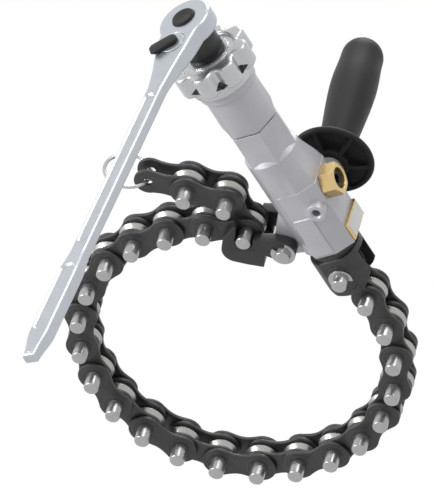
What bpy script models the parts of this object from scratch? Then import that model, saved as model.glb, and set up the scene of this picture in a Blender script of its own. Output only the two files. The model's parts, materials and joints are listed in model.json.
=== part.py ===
"""Soil pipe cutter: a chain of cutting wheels that a feed screw tightens round a vertical pipe.

The pipe's axis is the world Z axis and the chain lies in the XY plane, closed on its hook.
The feed body lies along X beside the loop, with its screw, star knob and ratchet wrench at -X
and the yoke that pulls the chain at +X. The side handle stands up along +Z.
"""

import math

import bmesh
import bpy
from mathutils import Matrix, Vector

MM = 0.001
DEGREE = math.pi / 180
MERGE = 0.00001

# Fits
CLEARANCE = 0.3 * MM
OVERRUN = 2.0 * MM

# Chain
CHAIN_PITCH = 25.4 * MM
LOOP_LINKS = 22
TAIL_TURNS = (-115 * DEGREE, -51 * DEGREE, -5 * DEGREE)
PLATE_THICKNESS = 2.4 * MM
PLATE_END_RADIUS = 10.5 * MM
PLATE_WAIST = 15.2 * MM
PLATE_END_ANGLE = 65 * DEGREE
PLATE_END_POINTS = 7
PIN_RADIUS = 4.7 * MM
PIN_STANDOUT = 10.6 * MM
PIN_FAR_STANDOUT = 6.0 * MM
PIN_CHAMFER = 0.8 * MM
PIN_SIDES = 8
BUSH_WALL = 1.3 * MM

# Cutting wheels
WHEEL_RADIUS = 11.2 * MM
WHEEL_WIDTH = 7.6 * MM
WHEEL_BEVEL = 2.9 * MM
WHEEL_STEPS = 14

# End link and pull ring
END_LINK_REACH = 24.4 * MM
END_LINK_TIP_RADIUS = 9.0 * MM
END_LINK_HOLE_RADIUS = 2.8 * MM
RING_RADIUS = 14.3 * MM
RING_WIRE_RADIUS = 1.2 * MM
RING_POINTS = 20

# Chain yoke and its plunger
YOKE_OUTSIDE = 2.2 * MM
YOKE_FORK_WIDTH = 25.0 * MM
YOKE_FORK_HEIGHT = 31.0 * MM
YOKE_PIN_STANDOUT = 7.5 * MM
YOKE_ROOT = 3.0 * MM
PLUNGER_RADIUS = 15.0 * MM
PLUNGER_SHOW = 7.0 * MM
PLUNGER_SEAT = 14.0 * MM
FEED_TRAVEL = 6.0 * MM

# Hook
HOOK_BACK = 32.2 * MM
HOOK_IN = 22.9 * MM
HOOK_CHEEK = 8.4 * MM
HOOK_EYE_RADIUS = 7.6 * MM
HOOK_PIN_STANDOUT = 5.0 * MM
HOOK_MOUTH_PLAY = 0.6 * MM
HOOK_MOUTH_TURN = -145 * DEGREE
HOOK_BACK_DEPTH = 18.0 * MM
HOOK_BACK_ROUND = 9.0 * MM
HOOK_BRIDGE = 4.7 * MM
HOOK_SHOULDER = 10.6 * MM
HOOK_LIP = 10.5 * MM
HOOK_LIP_TIP = 2.2 * MM
HOOK_ROUNDING = 0.8 * MM
LUG_RADIUS = 8.6 * MM
LUG_TURN = 150 * DEGREE

# Retaining clips
CLIP_WALL = 3.0 * MM
CLIP_THICKNESS = 1.4 * MM
CLIP_GAP = 70 * DEGREE
CLIP_TURN = -35 * DEGREE
CLIP_POINTS = 12

# Feed body, from its lower end to its top
BODY_BLOCK_LENGTH = 52.0 * MM
BODY_BLOCK_HEIGHT = 35.6 * MM
BODY_BLOCK_INNER = 17.8 * MM
BODY_BLOCK_OUTER = 20.3 * MM
BODY_BLOCK_CORNER = 6.0 * MM
BODY_BARREL_RADIUS = 17.9 * MM
BODY_BARREL_LENGTH = 25.0 * MM
BODY_HEX_FLATS = 31.4 * MM
BODY_HEX_LENGTH = 29.0 * MM
BODY_COLLAR_RADIUS = 17.7 * MM
BODY_COLLAR_LENGTH = 26.0 * MM
BODY_FLANGE_RADIUS = 19.2 * MM
BODY_FLANGE_LENGTH = 6.0 * MM
BODY_PAD_WIDTH = 17.0 * MM
BODY_PAD_LENGTH = 32.0 * MM
BODY_PAD_RISE = 0.9 * MM
BODY_SIDES = 24

# Feed screw, knob and drive hub
SCREW_RADIUS = 8.0 * MM
SCREW_ENTRY = 9.5 * MM
KNOB_RADIUS = 26.5 * MM
KNOB_LOBES = 8
KNOB_LOBE_DEPTH = 5.2 * MM
KNOB_LOBE_POINTS = 6
KNOB_VALLEY_SHARPNESS = 2
KNOB_RIM = 9.5 * MM
KNOB_FLANGE_RADIUS = 21.5 * MM
KNOB_FLANGE = 5.0 * MM
KNOB_BOSS_RADIUS = 15.5 * MM
KNOB_BOSS = 6.5 * MM
KNOB_POCKET_RADIUS = 3.6 * MM
HUB_RADIUS = 12.0 * MM
HUB_LENGTH = 17.0 * MM
SPIGOT_RADIUS = 9.0 * MM
SPIGOT_LENGTH = 6.5 * MM

# Ratchet wrench
WRENCH_SWING = 8.4 * DEGREE
WRENCH_HEAD_RADIUS = 17.3 * MM
WRENCH_HEAD_THICKNESS = 12.5 * MM
WRENCH_HEAD_REACH = 58.0 * MM
WRENCH_SHANK_WIDTH = 11.4 * MM
WRENCH_SHANK_THICKNESS = 8.2 * MM
WRENCH_GRIP_START = 205.0 * MM
WRENCH_GRIP_FLARE = 13.0 * MM
WRENCH_GRIP_WIDTH = 14.4 * MM
WRENCH_GRIP_THICKNESS = 10.0 * MM
WRENCH_TIP_START = 268.0 * MM
WRENCH_TIP_WIDTH = 8.6 * MM
WRENCH_REACH = 290.0 * MM
WRENCH_EDGE = 2.0 * MM
WRENCH_PANEL_DEPTH = 1.0 * MM
WRENCH_PANEL_MARGIN = 2.4 * MM
HEAD_TURN = 50 * DEGREE
HEAD_SHOULDER_SHARES = (0.45, 0.66)
HEAD_NECK_SHARES = (0.75, 1.35)
BUTTON_RADIUS = 7.4 * MM
BUTTON_LENGTH = 4.0 * MM
BUTTON_RISE = 1.6 * MM
BUTTON_CROWN = 1.5 * MM
BUTTON_TRAVEL = 1.5 * MM
LEVER_REACH = 21.5 * MM
LEVER_TURN = 28 * DEGREE
LEVER_BOSS_RADIUS = 8.2 * MM
LEVER_BOSS = 1.2 * MM
LEVER_WIDTH = 8.0 * MM
LEVER_LENGTH = 15.5 * MM
LEVER_RISE = 3.2 * MM
LEVER_STUD_RADIUS = 2.5 * MM
LEVER_STUD = 4.0 * MM

# Side handle
HANDLE_BACK = 34.0 * MM
HANDLE_OUT = 13.0 * MM
HANDLE_BOSS_TOP = 26.0 * MM
HANDLE_STUD_RADIUS = 5.0 * MM
HANDLE_STUD = 16.0 * MM
HANDLE_GUARD_RADIUS = 26.4 * MM
HANDLE_GUARD = 4.0 * MM
HANDLE_COLLAR = 3.5 * MM
HANDLE_COLLAR_RADIUS = 11.0 * MM
HANDLE_RIBS = 6
HANDLE_RIB_WIDTH = 2.4 * MM
HANDLE_GRIP_RADIUS = 11.2 * MM
HANDLE_SWELL_RADIUS = 14.6 * MM
HANDLE_SWELL_SHARE = 0.62
HANDLE_TIP_RADIUS = 13.2 * MM
HANDLE_GRIP_LENGTH = 104.0 * MM
HANDLE_STEPS = 24
HANDLE_DOME_TURNS = (65 * DEGREE, 40 * DEGREE, 18 * DEGREE, 0)
NEAR_BOSS_RADIUS = 6.2 * MM
NEAR_HOLE_RADIUS = 2.6 * MM
NEAR_HOLE_DEPTH = 7.0 * MM

# Brass nut
NUT_BACK = 42.5 * MM
NUT_FLATS = 18.4 * MM
NUT_LENGTH = 9.6 * MM
NUT_BORE_RADIUS = 6.6 * MM
NUT_FLOOR = 2.0 * MM
NUT_SHANK_RADIUS = 5.6 * MM
NUT_SHANK = 4.5 * MM


def chord_angle(chord, radius_a, radius_b):
    """Angle at the loop's centre that a chord between two radii spans."""
    cosine = (radius_a ** 2 + radius_b ** 2 - chord ** 2) / (2 * radius_a * radius_b)
    return math.acos(max(-1.0, min(1.0, cosine)))


def loop_radius():
    """Radius on which the chain's pins and the hook's pin close the loop at the yoke's pin."""
    hook_chord = math.hypot(HOOK_BACK, HOOK_IN)
    low, high = CHAIN_PITCH, CHAIN_PITCH * LOOP_LINKS
    for _ in range(60):
        radius = (low + high) / 2
        outside = radius + YOKE_OUTSIDE
        turn = (chord_angle(CHAIN_PITCH, outside, radius)
                + LOOP_LINKS * chord_angle(CHAIN_PITCH, radius, radius)
                + chord_angle(hook_chord, radius, outside))
        if turn > 2 * math.pi:
            low = radius
        else:
            high = radius
    return radius


LOOP_RADIUS = loop_radius()
LINK_TURN = chord_angle(CHAIN_PITCH, LOOP_RADIUS, LOOP_RADIUS)


def polar(radius, angle):
    return Vector((radius * math.cos(angle), radius * math.sin(angle), 0))


def yoke_angle():
    """Angle of the yoke's pin about the loop, with the feed body lying along X."""
    hook_chord = math.hypot(HOOK_BACK, HOOK_IN)
    outside = LOOP_RADIUS + YOKE_OUTSIDE
    span = chord_angle(hook_chord, LOOP_RADIUS, outside)
    drawn = polar(LOOP_RADIUS, -span) - polar(outside, 0)
    return math.atan2(HOOK_IN, -HOOK_BACK) - math.atan2(drawn.y, drawn.x)


YOKE_PIN = polar(LOOP_RADIUS + YOKE_OUTSIDE, yoke_angle())
HOOK_PIN = YOKE_PIN + Vector((-HOOK_BACK, HOOK_IN, 0))
CATCH_ANGLE = math.atan2(HOOK_PIN.y, HOOK_PIN.x) - LINK_TURN


def loop_pins():
    """Centres of the pins: the yoke's, those round the loop to the one in the hook, then the tail's."""
    pins = [YOKE_PIN]
    for number in range(1, LOOP_LINKS + 1):
        pins.append(polar(LOOP_RADIUS, CATCH_ANGLE - (LOOP_LINKS - number) * LINK_TURN))
    heading = pins[-1] - pins[-2]
    for turn in TAIL_TURNS:
        heading = Matrix.Rotation(turn, 3, "Z") @ heading
        pins.append(pins[-1] + heading)
    return pins


PINS = loop_pins()
CATCH_PIN = PINS[LOOP_LINKS]

# Heights of the chain's layers above its middle plane
INNER_FLOOR = WHEEL_WIDTH / 2 + CLEARANCE
INNER_TOP = INNER_FLOOR + PLATE_THICKNESS
OUTER_FLOOR = INNER_TOP + CLEARANCE
OUTER_TOP = OUTER_FLOOR + PLATE_THICKNESS
PIN_TOP = OUTER_TOP + PIN_FAR_STANDOUT
PIN_FOOT = -OUTER_TOP - PIN_STANDOUT
BUSH_BORE = PIN_RADIUS + CLEARANCE
BUSH_RADIUS = BUSH_BORE + BUSH_WALL
WHEEL_BORE = BUSH_RADIUS + CLEARANCE
CHEEK_FLOOR = OUTER_TOP + CLEARANCE
CHEEK_TOP = CHEEK_FLOOR + HOOK_CHEEK

# Places along the feed body, measured from the yoke's pin towards the knob
FORK_ROOT = PLATE_END_RADIUS + 2 * CLEARANCE
PLUNGER_FRONT = FORK_ROOT + YOKE_ROOT
BODY_FRONT = PLUNGER_FRONT + PLUNGER_SHOW
PLUNGER_REAR = BODY_FRONT + PLUNGER_SEAT
PLUNGER_BORE_END = PLUNGER_REAR + FEED_TRAVEL + OVERRUN
BLOCK_REAR = BODY_FRONT + BODY_BLOCK_LENGTH
BARREL_REAR = BLOCK_REAR + BODY_BARREL_LENGTH
HEX_REAR = BARREL_REAR + BODY_HEX_LENGTH
COLLAR_REAR = HEX_REAR + BODY_COLLAR_LENGTH
FLANGE_REAR = COLLAR_REAR + BODY_FLANGE_LENGTH
SCREW_TIP = PLUNGER_REAR - SCREW_ENTRY
KNOB_FRONT = FLANGE_REAR + CLEARANCE
KNOB_RIM_FRONT = KNOB_FRONT + KNOB_FLANGE
KNOB_RIM_REAR = KNOB_RIM_FRONT + KNOB_RIM
KNOB_REAR = KNOB_RIM_REAR + KNOB_BOSS
HUB_REAR = KNOB_REAR + CLEARANCE + HUB_LENGTH
HEAD_FRONT = HUB_REAR + CLEARANCE
HEAD_REAR = HEAD_FRONT + WRENCH_HEAD_THICKNESS
HEAD_MIDDLE = (HEAD_FRONT + HEAD_REAR) / 2
BLOCK_TOP = BODY_BLOCK_HEIGHT / 2

HANDLE_AT = Vector((-BODY_FRONT - HANDLE_BACK, -HANDLE_OUT, 0))
HANDLE_BOSS_RADIUS = BODY_BLOCK_OUTER - HANDLE_OUT
NUT_AT = Vector((-BODY_FRONT - NUT_BACK, -BODY_BLOCK_OUTER, 0))

for old in list(bpy.data.objects):
    bpy.data.objects.remove(old)


def make_collection(name):
    collection = bpy.data.collections.new(name)
    bpy.context.scene.collection.children.link(collection)
    return collection


PARTS = make_collection("soil_pipe_cutter")
CUTTERS = make_collection("cutters")


def make_material(name, colour, roughness, metallic):
    material = bpy.data.materials.new(name)
    material.use_nodes = True
    shader = material.node_tree.nodes["Principled BSDF"]
    shader.inputs["Base Color"].default_value = (*colour, 1)
    shader.inputs["Roughness"].default_value = roughness
    shader.inputs["Metallic"].default_value = metallic
    return material


CAST_ALUMINIUM = make_material("cast_aluminium", (0.55, 0.55, 0.57), 0.42, 0.8)
BLACK_STEEL = make_material("black_steel", (0.045, 0.045, 0.05), 0.5, 0.4)
BRIGHT_STEEL = make_material("bright_steel", (0.62, 0.62, 0.62), 0.3, 1.0)
SATIN_CHROME = make_material("satin_chrome", (0.7, 0.71, 0.73), 0.22, 1.0)
BLACK_PLASTIC = make_material("black_plastic", (0.03, 0.03, 0.032), 0.45, 0.0)
BRASS = make_material("brass", (0.78, 0.52, 0.2), 0.3, 1.0)


def add_object(name, mesh, material, parent=None):
    obj = bpy.data.objects.new(name, mesh)
    obj.parent = parent
    PARTS.objects.link(obj)
    if material and not mesh.materials:
        mesh.materials.append(material)
    return obj


def make_guide(obj):
    """Turn an object into a boolean operand that is not itself a piece."""
    obj.hide_render = True
    obj.display_type = "WIRE"
    PARTS.objects.unlink(obj)
    CUTTERS.objects.link(obj)


def evaluated_mesh(obj):
    bpy.context.view_layer.update()
    return bpy.data.meshes.new_from_object(obj.evaluated_get(bpy.context.evaluated_depsgraph_get()))


def smooth(mesh):
    mesh.shade_smooth()
    mesh.set_sharp_from_angle(angle=30 * DEGREE)


def cone(name, radius, top_radius, length, sides, place=None):
    """Cylinder or cone on Z from its base at the origin, moved by a matrix."""
    mesh = bpy.data.meshes.new(name)
    shape = bmesh.new()
    bmesh.ops.create_cone(shape, cap_ends=True, segments=sides, radius1=radius,
                          radius2=top_radius, depth=length)
    bmesh.ops.translate(shape, verts=shape.verts, vec=(0, 0, length / 2))
    if place:
        bmesh.ops.transform(shape, matrix=place, verts=shape.verts)
    shape.to_mesh(mesh)
    shape.free()
    smooth(mesh)
    return mesh


def cylinder(name, radius, length, sides, place=None):
    return cone(name, radius, radius, length, sides, place)


def bore(name, radius, length, sides, place=None):
    """Cutter whose flats, not its corners, lie at the radius, so that a round piece clears it."""
    return cylinder(name, radius / math.cos(math.pi / sides), length, sides, place)


def box(name, low, high):
    """Box between two corners."""
    mesh = bpy.data.meshes.new(name)
    shape = bmesh.new()
    bmesh.ops.create_cube(shape, size=1)
    size = [high[i] - low[i] for i in range(3)]
    centre = [(high[i] + low[i]) / 2 for i in range(3)]
    bmesh.ops.scale(shape, vec=size, verts=shape.verts)
    bmesh.ops.translate(shape, vec=centre, verts=shape.verts)
    shape.to_mesh(mesh)
    shape.free()
    return mesh


def plate(name, outline, floor, top, place=None):
    """Flat plate with an outline in XY between two heights, moved by a matrix."""
    curve = bpy.data.curves.new(name, "CURVE")
    curve.dimensions = "2D"
    curve.fill_mode = "BOTH"
    curve.extrude = (top - floor) / 2
    spline = curve.splines.new("POLY")
    spline.points.add(len(outline) - 1)
    for point, (x, y) in zip(spline.points, outline):
        point.co = (x, y, 0, 1)
    spline.use_cyclic_u = True
    drawn = bpy.data.objects.new(name, curve)
    CUTTERS.objects.link(drawn)
    mesh = evaluated_mesh(drawn)
    bpy.data.objects.remove(drawn)
    shape = bmesh.new()
    shape.from_mesh(mesh)
    bmesh.ops.remove_doubles(shape, verts=shape.verts, dist=MERGE)
    bmesh.ops.dissolve_limit(shape, angle_limit=DEGREE, verts=shape.verts, edges=shape.edges)
    bmesh.ops.translate(shape, verts=shape.verts, vec=(0, 0, (top + floor) / 2))
    if place:
        bmesh.ops.transform(shape, matrix=place, verts=shape.verts)
    bmesh.ops.recalc_face_normals(shape, faces=shape.faces)
    shape.to_mesh(mesh)
    shape.free()
    return mesh


def turned(name, profile, steps, ring=False, place=None):
    """Solid of revolution about Z from (radius, height) points that run down its outer side."""
    mesh = bpy.data.meshes.new(name)
    count = len(profile)
    edges = [(number, number + 1) for number in range(count - 1)]
    if ring:
        edges.append((count - 1, 0))
    mesh.from_pydata([(radius, 0, height) for radius, height in profile], edges, [])
    drawn = bpy.data.objects.new(name, mesh)
    CUTTERS.objects.link(drawn)
    screw = drawn.modifiers.new("Turn", "SCREW")
    screw.steps = screw.render_steps = steps
    screw.use_merge_vertices = True
    screw.merge_threshold = MERGE
    solid = evaluated_mesh(drawn)
    bpy.data.objects.remove(drawn)
    if place:
        solid.transform(place)
    smooth(solid)
    return solid


def combine(obj, mesh, operation="UNION"):
    """Join a mesh to an object, or cut it away, with a boolean in the object's own space."""
    operand = add_object(f"{obj.name}_{operation.lower()}_{len(obj.modifiers)}", mesh, None, obj)
    make_guide(operand)
    modifier = obj.modifiers.new(operation.title(), "BOOLEAN")
    modifier.operation = operation
    modifier.solver = "EXACT"
    modifier.object = operand


def cut(obj, mesh):
    combine(obj, mesh, "DIFFERENCE")


def settle(obj):
    """Replace an object's modifiers by the mesh that they give, so that copies can share it."""
    mesh = evaluated_mesh(obj)
    smooth(mesh)
    for operand in list(obj.children):
        bpy.data.objects.remove(operand)
    bpy.data.objects.remove(obj)
    return mesh


def at(x, y, z):
    return Matrix.Translation((x, y, z))


def along_body(distance, across=0.0, height=0.0):
    """Matrix that stands a Z shape on the body's axis at a distance from the yoke, towards the knob."""
    return at(-distance, across, height) @ Matrix.Rotation(-90 * DEGREE, 4, "Y")


def arc(centre, radius, start, end, points):
    """Points of an arc, both ends included."""
    step = (end - start) / (points - 1)
    return [(centre[0] + radius * math.cos(start + step * number),
             centre[1] + radius * math.sin(start + step * number)) for number in range(points)]


def link_outline(length, start_radius, end_radius):
    """Waisted outline of a link plate from the pin at the origin to its other end along X."""
    middle = length / 2
    ends = math.pi - PLATE_END_ANGLE
    near = arc((0, 0), start_radius, math.pi - ends, math.pi + ends, PLATE_END_POINTS)
    far = arc((length, 0), end_radius, -ends, ends, PLATE_END_POINTS)
    return near + [(middle, -PLATE_WAIST / 2)] + far + [(middle, PLATE_WAIST / 2)]


def plate_pair(name, outline, floor, top):
    """Two like plates, above and below the chain's middle plane, as one object with the second joined."""
    obj = add_object(name, plate(name, outline, floor, top), BLACK_STEEL)
    combine(obj, plate(name, outline, -top, -floor))
    return obj


def bush(obj, x):
    """Bush between an inner link's plates, bored for the pin."""
    combine(obj, cylinder("bush", BUSH_RADIUS, 2 * INNER_TOP - PLATE_THICKNESS, PIN_SIDES,
                          at(x, 0, -INNER_TOP + PLATE_THICKNESS / 2)))


def through_bore(obj, x, radius):
    cut(obj, bore("bore", radius, 2 * (INNER_TOP + OVERRUN), PIN_SIDES, at(x, 0, -INNER_TOP - OVERRUN)))


def inner_link_mesh():
    """Two plates joined by the bushes that the cutting wheels turn on."""
    obj = plate_pair("inner_link", link_outline(CHAIN_PITCH, PLATE_END_RADIUS, PLATE_END_RADIUS),
                     INNER_FLOOR, INNER_TOP)
    for x in (0, CHAIN_PITCH):
        bush(obj, x)
    for x in (0, CHAIN_PITCH):
        through_bore(obj, x, BUSH_BORE)
    return settle(obj)


def end_link_mesh():
    """The chain's last link: one bush, and a hole for the pull ring at its far end."""
    obj = plate_pair("end_link", link_outline(END_LINK_REACH, PLATE_END_RADIUS, END_LINK_TIP_RADIUS),
                     INNER_FLOOR, INNER_TOP)
    bush(obj, 0)
    through_bore(obj, 0, BUSH_BORE)
    through_bore(obj, END_LINK_REACH, END_LINK_HOLE_RADIUS)
    return settle(obj)


def chamfered_pin(radius, foot, top, sides, place=None):
    """Plain pin between two heights with a chamfer at both ends."""
    profile = [(0, top), (radius - PIN_CHAMFER, top), (radius, top - PIN_CHAMFER),
               (radius, foot + PIN_CHAMFER), (radius - PIN_CHAMFER, foot), (0, foot)]
    return turned("pin", profile, sides, place=place)


def outer_link_mesh():
    """Two plates on a pair of long pins, whose ends the hook can catch."""
    obj = plate_pair("outer_link", link_outline(CHAIN_PITCH, PLATE_END_RADIUS, PLATE_END_RADIUS),
                     OUTER_FLOOR, OUTER_TOP)
    for x in (0, CHAIN_PITCH):
        combine(obj, chamfered_pin(PIN_RADIUS, PIN_FOOT, PIN_TOP, PIN_SIDES, at(x, 0, 0)))
    return settle(obj)


def wheel_mesh():
    """Cutting wheel with a hub and a double-bevelled edge."""
    half = WHEEL_WIDTH / 2
    hub = WHEEL_RADIUS - WHEEL_BEVEL
    inner = WHEEL_BORE / math.cos(math.pi / WHEEL_STEPS)
    profile = [(inner, half), (hub, half), (WHEEL_RADIUS, 0), (hub, -half), (inner, -half)]
    return turned("cutter_wheel", profile, WHEEL_STEPS, ring=True)


def place_at_pin(obj, number):
    """Put an object's origin on a pin, with its X axis along the link that leaves that pin."""
    heading = PINS[number + 1] - PINS[number]
    obj.location = PINS[number]
    obj.rotation_euler = (0, 0, math.atan2(heading.y, heading.x))


def make_chain():
    """Inner links at even places and outer links at odd ones, then the end link."""
    inner, outer, end, wheel = inner_link_mesh(), outer_link_mesh(), end_link_mesh(), wheel_mesh()
    last = len(PINS) - 2
    for number in range(last + 1):
        if number == last:
            link = add_object("end_link", end, BLACK_STEEL)
        elif number % 2:
            link = add_object(f"outer_link_{number:02d}", outer, BLACK_STEEL)
        else:
            link = add_object(f"inner_link_{number:02d}", inner, BLACK_STEEL)
        place_at_pin(link, number)
    for number in range(1, last + 1):
        roller = add_object(f"cutter_wheel_{number:02d}", wheel, BRIGHT_STEEL)
        roller.location = PINS[number]


def make_ring():
    """Round wire ring that hangs from the two plates of the end link, in the plane of the pins."""
    curve = bpy.data.curves.new("pull_ring", "CURVE")
    curve.dimensions = "3D"
    curve.bevel_depth = RING_WIRE_RADIUS
    curve.bevel_resolution = 1
    spline = curve.splines.new("POLY")
    spline.points.add(RING_POINTS - 1)
    for number, point in enumerate(spline.points):
        angle = 2 * math.pi * number / RING_POINTS
        point.co = (RING_RADIUS * (1 + math.cos(angle)), 0, RING_RADIUS * math.sin(angle), 1)
    spline.use_cyclic_u = True
    curve.materials.append(BRIGHT_STEEL)
    ring = bpy.data.objects.new("pull_ring", curve)
    heading = (PINS[-1] - PINS[-2]).normalized()
    # Between the plates the wire bows inwards, so it is seated where it leaves their outer faces
    bow = RING_RADIUS - math.sqrt(RING_RADIUS ** 2 - INNER_TOP ** 2)
    seat = END_LINK_HOLE_RADIUS - RING_WIRE_RADIUS - CLEARANCE
    ring.location = PINS[-2] + heading * (END_LINK_REACH + seat - bow)
    ring.rotation_euler = (0, 0, math.atan2(heading.y, heading.x))
    PARTS.objects.link(ring)


def clip(obj, place, side):
    """Open retaining clip round a pin, against the outside of the cheek that it holds."""
    start = CLIP_TURN + CLIP_GAP / 2
    end = CLIP_TURN - CLIP_GAP / 2 + 2 * math.pi
    outline = arc((0, 0), PIN_RADIUS + CLIP_WALL, start, end, CLIP_POINTS)
    outline += arc((0, 0), PIN_RADIUS / 2, end, start, CLIP_POINTS // 2)
    combine(obj, plate("clip", outline, side - CLIP_THICKNESS / 2, side + CLIP_THICKNESS / 2, place))


def make_yoke():
    """Fork and plunger in one, with the pin that the first link turns on and its retaining clips."""
    fork_top = YOKE_FORK_HEIGHT / 2
    half = YOKE_FORK_WIDTH / 2
    cheek = arc((0, 0), half, -90 * DEGREE, 90 * DEGREE, 9)
    outline = cheek + [(-PLUNGER_FRONT, half), (-PLUNGER_FRONT, -half)]
    yoke = add_object("chain_yoke", plate("fork", outline, -fork_top, fork_top), BLACK_STEEL)
    yoke.location = YOKE_PIN
    combine(yoke, cylinder("plunger", PLUNGER_RADIUS, PLUNGER_REAR - FORK_ROOT, BODY_SIDES,
                           along_body(FORK_ROOT)))
    slot = FORK_ROOT + CLEARANCE / 2
    cut(yoke, box("slot", (-slot, -PLUNGER_RADIUS - OVERRUN, -OUTER_FLOOR),
                  (half + OVERRUN, PLUNGER_RADIUS + OVERRUN, OUTER_FLOOR)))
    screw_hole = SCREW_ENTRY + FEED_TRAVEL + CLEARANCE
    cut(yoke, bore("screw_hole", SCREW_RADIUS + CLEARANCE, screw_hole + OVERRUN, BODY_SIDES // 2,
                   along_body(PLUNGER_REAR - screw_hole)))
    pin_top = fork_top + YOKE_PIN_STANDOUT
    combine(yoke, chamfered_pin(PIN_RADIUS, -pin_top, pin_top, 2 * PIN_SIDES))
    for side in (-1, 1):
        clip(yoke, None, side * (fork_top + CLIP_THICKNESS / 2))
    return yoke


def hook_outline(eye):
    """Cheek about the caught pin, with X out of the mouth: seat, lip, back, and the eye's round end."""
    slot = PIN_RADIUS + HOOK_MOUTH_PLAY
    outside = -slot - HOOK_EYE_RADIUS
    shoulder = eye.y - HOOK_SHOULDER
    seat = arc((0, 0), slot, 90 * DEGREE, 270 * DEGREE, 7)
    lip = [(HOOK_LIP, -slot - HOOK_MOUTH_PLAY), (HOOK_LIP, -slot - HOOK_LIP_TIP)]
    heel = (HOOK_BACK_ROUND - HOOK_BACK_DEPTH, HOOK_BACK_ROUND + outside)
    back = [(0, outside)] + arc(heel, HOOK_BACK_ROUND, -90 * DEGREE, -180 * DEGREE, 5)
    back += [(-HOOK_BACK_DEPTH, PIN_RADIUS), (HOOK_ROUNDING - HOOK_BACK_DEPTH, shoulder),
             (-HOOK_EYE_RADIUS, shoulder)]
    end = arc(eye, HOOK_EYE_RADIUS, 180 * DEGREE, 0, 9)
    return seat + lip + back + end + [(eye.x + HOOK_EYE_RADIUS, eye.y - HOOK_EYE_RADIUS), (slot / 2, slot)]


def make_hook():
    """Two cheeks joined behind the caught pin and by the pin that the hook swings on."""
    turn = Matrix.Rotation(HOOK_MOUTH_TURN, 4, "Z")
    eye = turn.inverted() @ (HOOK_PIN - CATCH_PIN)
    outline = hook_outline(eye)
    hook = add_object("chain_hook", plate("cheek", outline, -CHEEK_TOP, -CHEEK_FLOOR), BLACK_STEEL)
    hook.matrix_world = Matrix.Translation(CATCH_PIN) @ turn
    combine(hook, plate("cheek", outline, CHEEK_FLOOR, CHEEK_TOP))
    middle = (CHEEK_FLOOR + CHEEK_TOP) / 2
    rear = HOOK_ROUNDING - HOOK_BACK_DEPTH
    combine(hook, box("bridge", (rear, 0, -middle), (rear + HOOK_BRIDGE, eye.y - HOOK_SHOULDER, middle)))
    place = Matrix.Translation(eye)
    pin_top = CHEEK_TOP + HOOK_PIN_STANDOUT
    combine(hook, chamfered_pin(PIN_RADIUS, -pin_top, pin_top, 2 * PIN_SIDES, place))
    for side in (-1, 1):
        clip(hook, place, side * (CHEEK_TOP + CLIP_THICKNESS / 2))
    return hook


def make_body():
    """Cast feed body: block, barrel, hexagon, collar and flange in line, bored for plunger and screw."""
    block = box("block", (-BLOCK_REAR, -BODY_BLOCK_OUTER, -BLOCK_TOP),
                (-BODY_FRONT, BODY_BLOCK_INNER, BLOCK_TOP))
    shape = bmesh.new()
    shape.from_mesh(block)
    long_edges = [edge for edge in shape.edges
                  if abs(edge.verts[0].co.x - edge.verts[1].co.x) > BODY_BLOCK_LENGTH / 2]
    bmesh.ops.bevel(shape, geom=long_edges, offset=BODY_BLOCK_CORNER, segments=2, profile=0.5,
                    affect="EDGES")
    shape.to_mesh(block)
    shape.free()
    smooth(block)
    body = add_object("cutter_body", block, CAST_ALUMINIUM)
    body.location = YOKE_PIN
    combine(body, cylinder("barrel", BODY_BARREL_RADIUS, BARREL_REAR - BODY_FRONT - OVERRUN,
                           BODY_SIDES, along_body(BODY_FRONT + OVERRUN)))
    corner = BODY_HEX_FLATS / math.sqrt(3)
    combine(body, cylinder("hexagon", corner, BODY_HEX_LENGTH + 2 * OVERRUN, 6,
                           along_body(BARREL_REAR - OVERRUN)))
    combine(body, cylinder("collar", BODY_COLLAR_RADIUS, BODY_COLLAR_LENGTH + OVERRUN,
                           BODY_SIDES, along_body(HEX_REAR)))
    combine(body, cylinder("flange", BODY_FLANGE_RADIUS, BODY_FLANGE_LENGTH, BODY_SIDES,
                           along_body(COLLAR_REAR)))
    pad = BODY_PAD_WIDTH / 2
    combine(body, box("pad", (-BODY_FRONT - BODY_PAD_LENGTH, -pad, -BLOCK_TOP - BODY_PAD_RISE),
                      (-BODY_FRONT - OVERRUN, pad, BODY_PAD_RISE - BLOCK_TOP)))
    near_boss = BLOCK_TOP + BODY_PAD_RISE
    combine(body, cylinder("handle_boss", HANDLE_BOSS_RADIUS, HANDLE_BOSS_TOP, BODY_SIDES // 2,
                           at(HANDLE_AT.x, HANDLE_AT.y, 0)))
    combine(body, cylinder("near_boss", NEAR_BOSS_RADIUS, near_boss, BODY_SIDES // 2,
                           at(HANDLE_AT.x, HANDLE_AT.y, -near_boss)))
    add_lug(body)
    cut(body, bore("plunger_bore", PLUNGER_RADIUS + CLEARANCE, PLUNGER_BORE_END - BODY_FRONT + OVERRUN,
                   BODY_SIDES, along_body(BODY_FRONT - OVERRUN)))
    cut(body, bore("screw_bore", SCREW_RADIUS + CLEARANCE, FLANGE_REAR - BODY_FRONT + 2 * OVERRUN,
                   BODY_SIDES // 2, along_body(BODY_FRONT - OVERRUN)))
    stud_floor = HANDLE_BOSS_TOP - HANDLE_STUD - CLEARANCE
    cut(body, bore("stud_hole", HANDLE_STUD_RADIUS + CLEARANCE, HANDLE_STUD + OVERRUN,
                   BODY_SIDES // 2, at(HANDLE_AT.x, HANDLE_AT.y, stud_floor)))
    cut(body, bore("near_hole", NEAR_HOLE_RADIUS, NEAR_HOLE_DEPTH + OVERRUN, PIN_SIDES,
                   at(HANDLE_AT.x, HANDLE_AT.y, -near_boss - OVERRUN)))
    shank_hole = NUT_SHANK + CLEARANCE
    place = at(NUT_AT.x, NUT_AT.y + shank_hole, 0) @ Matrix.Rotation(90 * DEGREE, 4, "X")
    cut(body, bore("shank_hole", NUT_SHANK_RADIUS + CLEARANCE, shank_hole + OVERRUN, BODY_SIDES // 2,
                   place))
    return body


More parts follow.
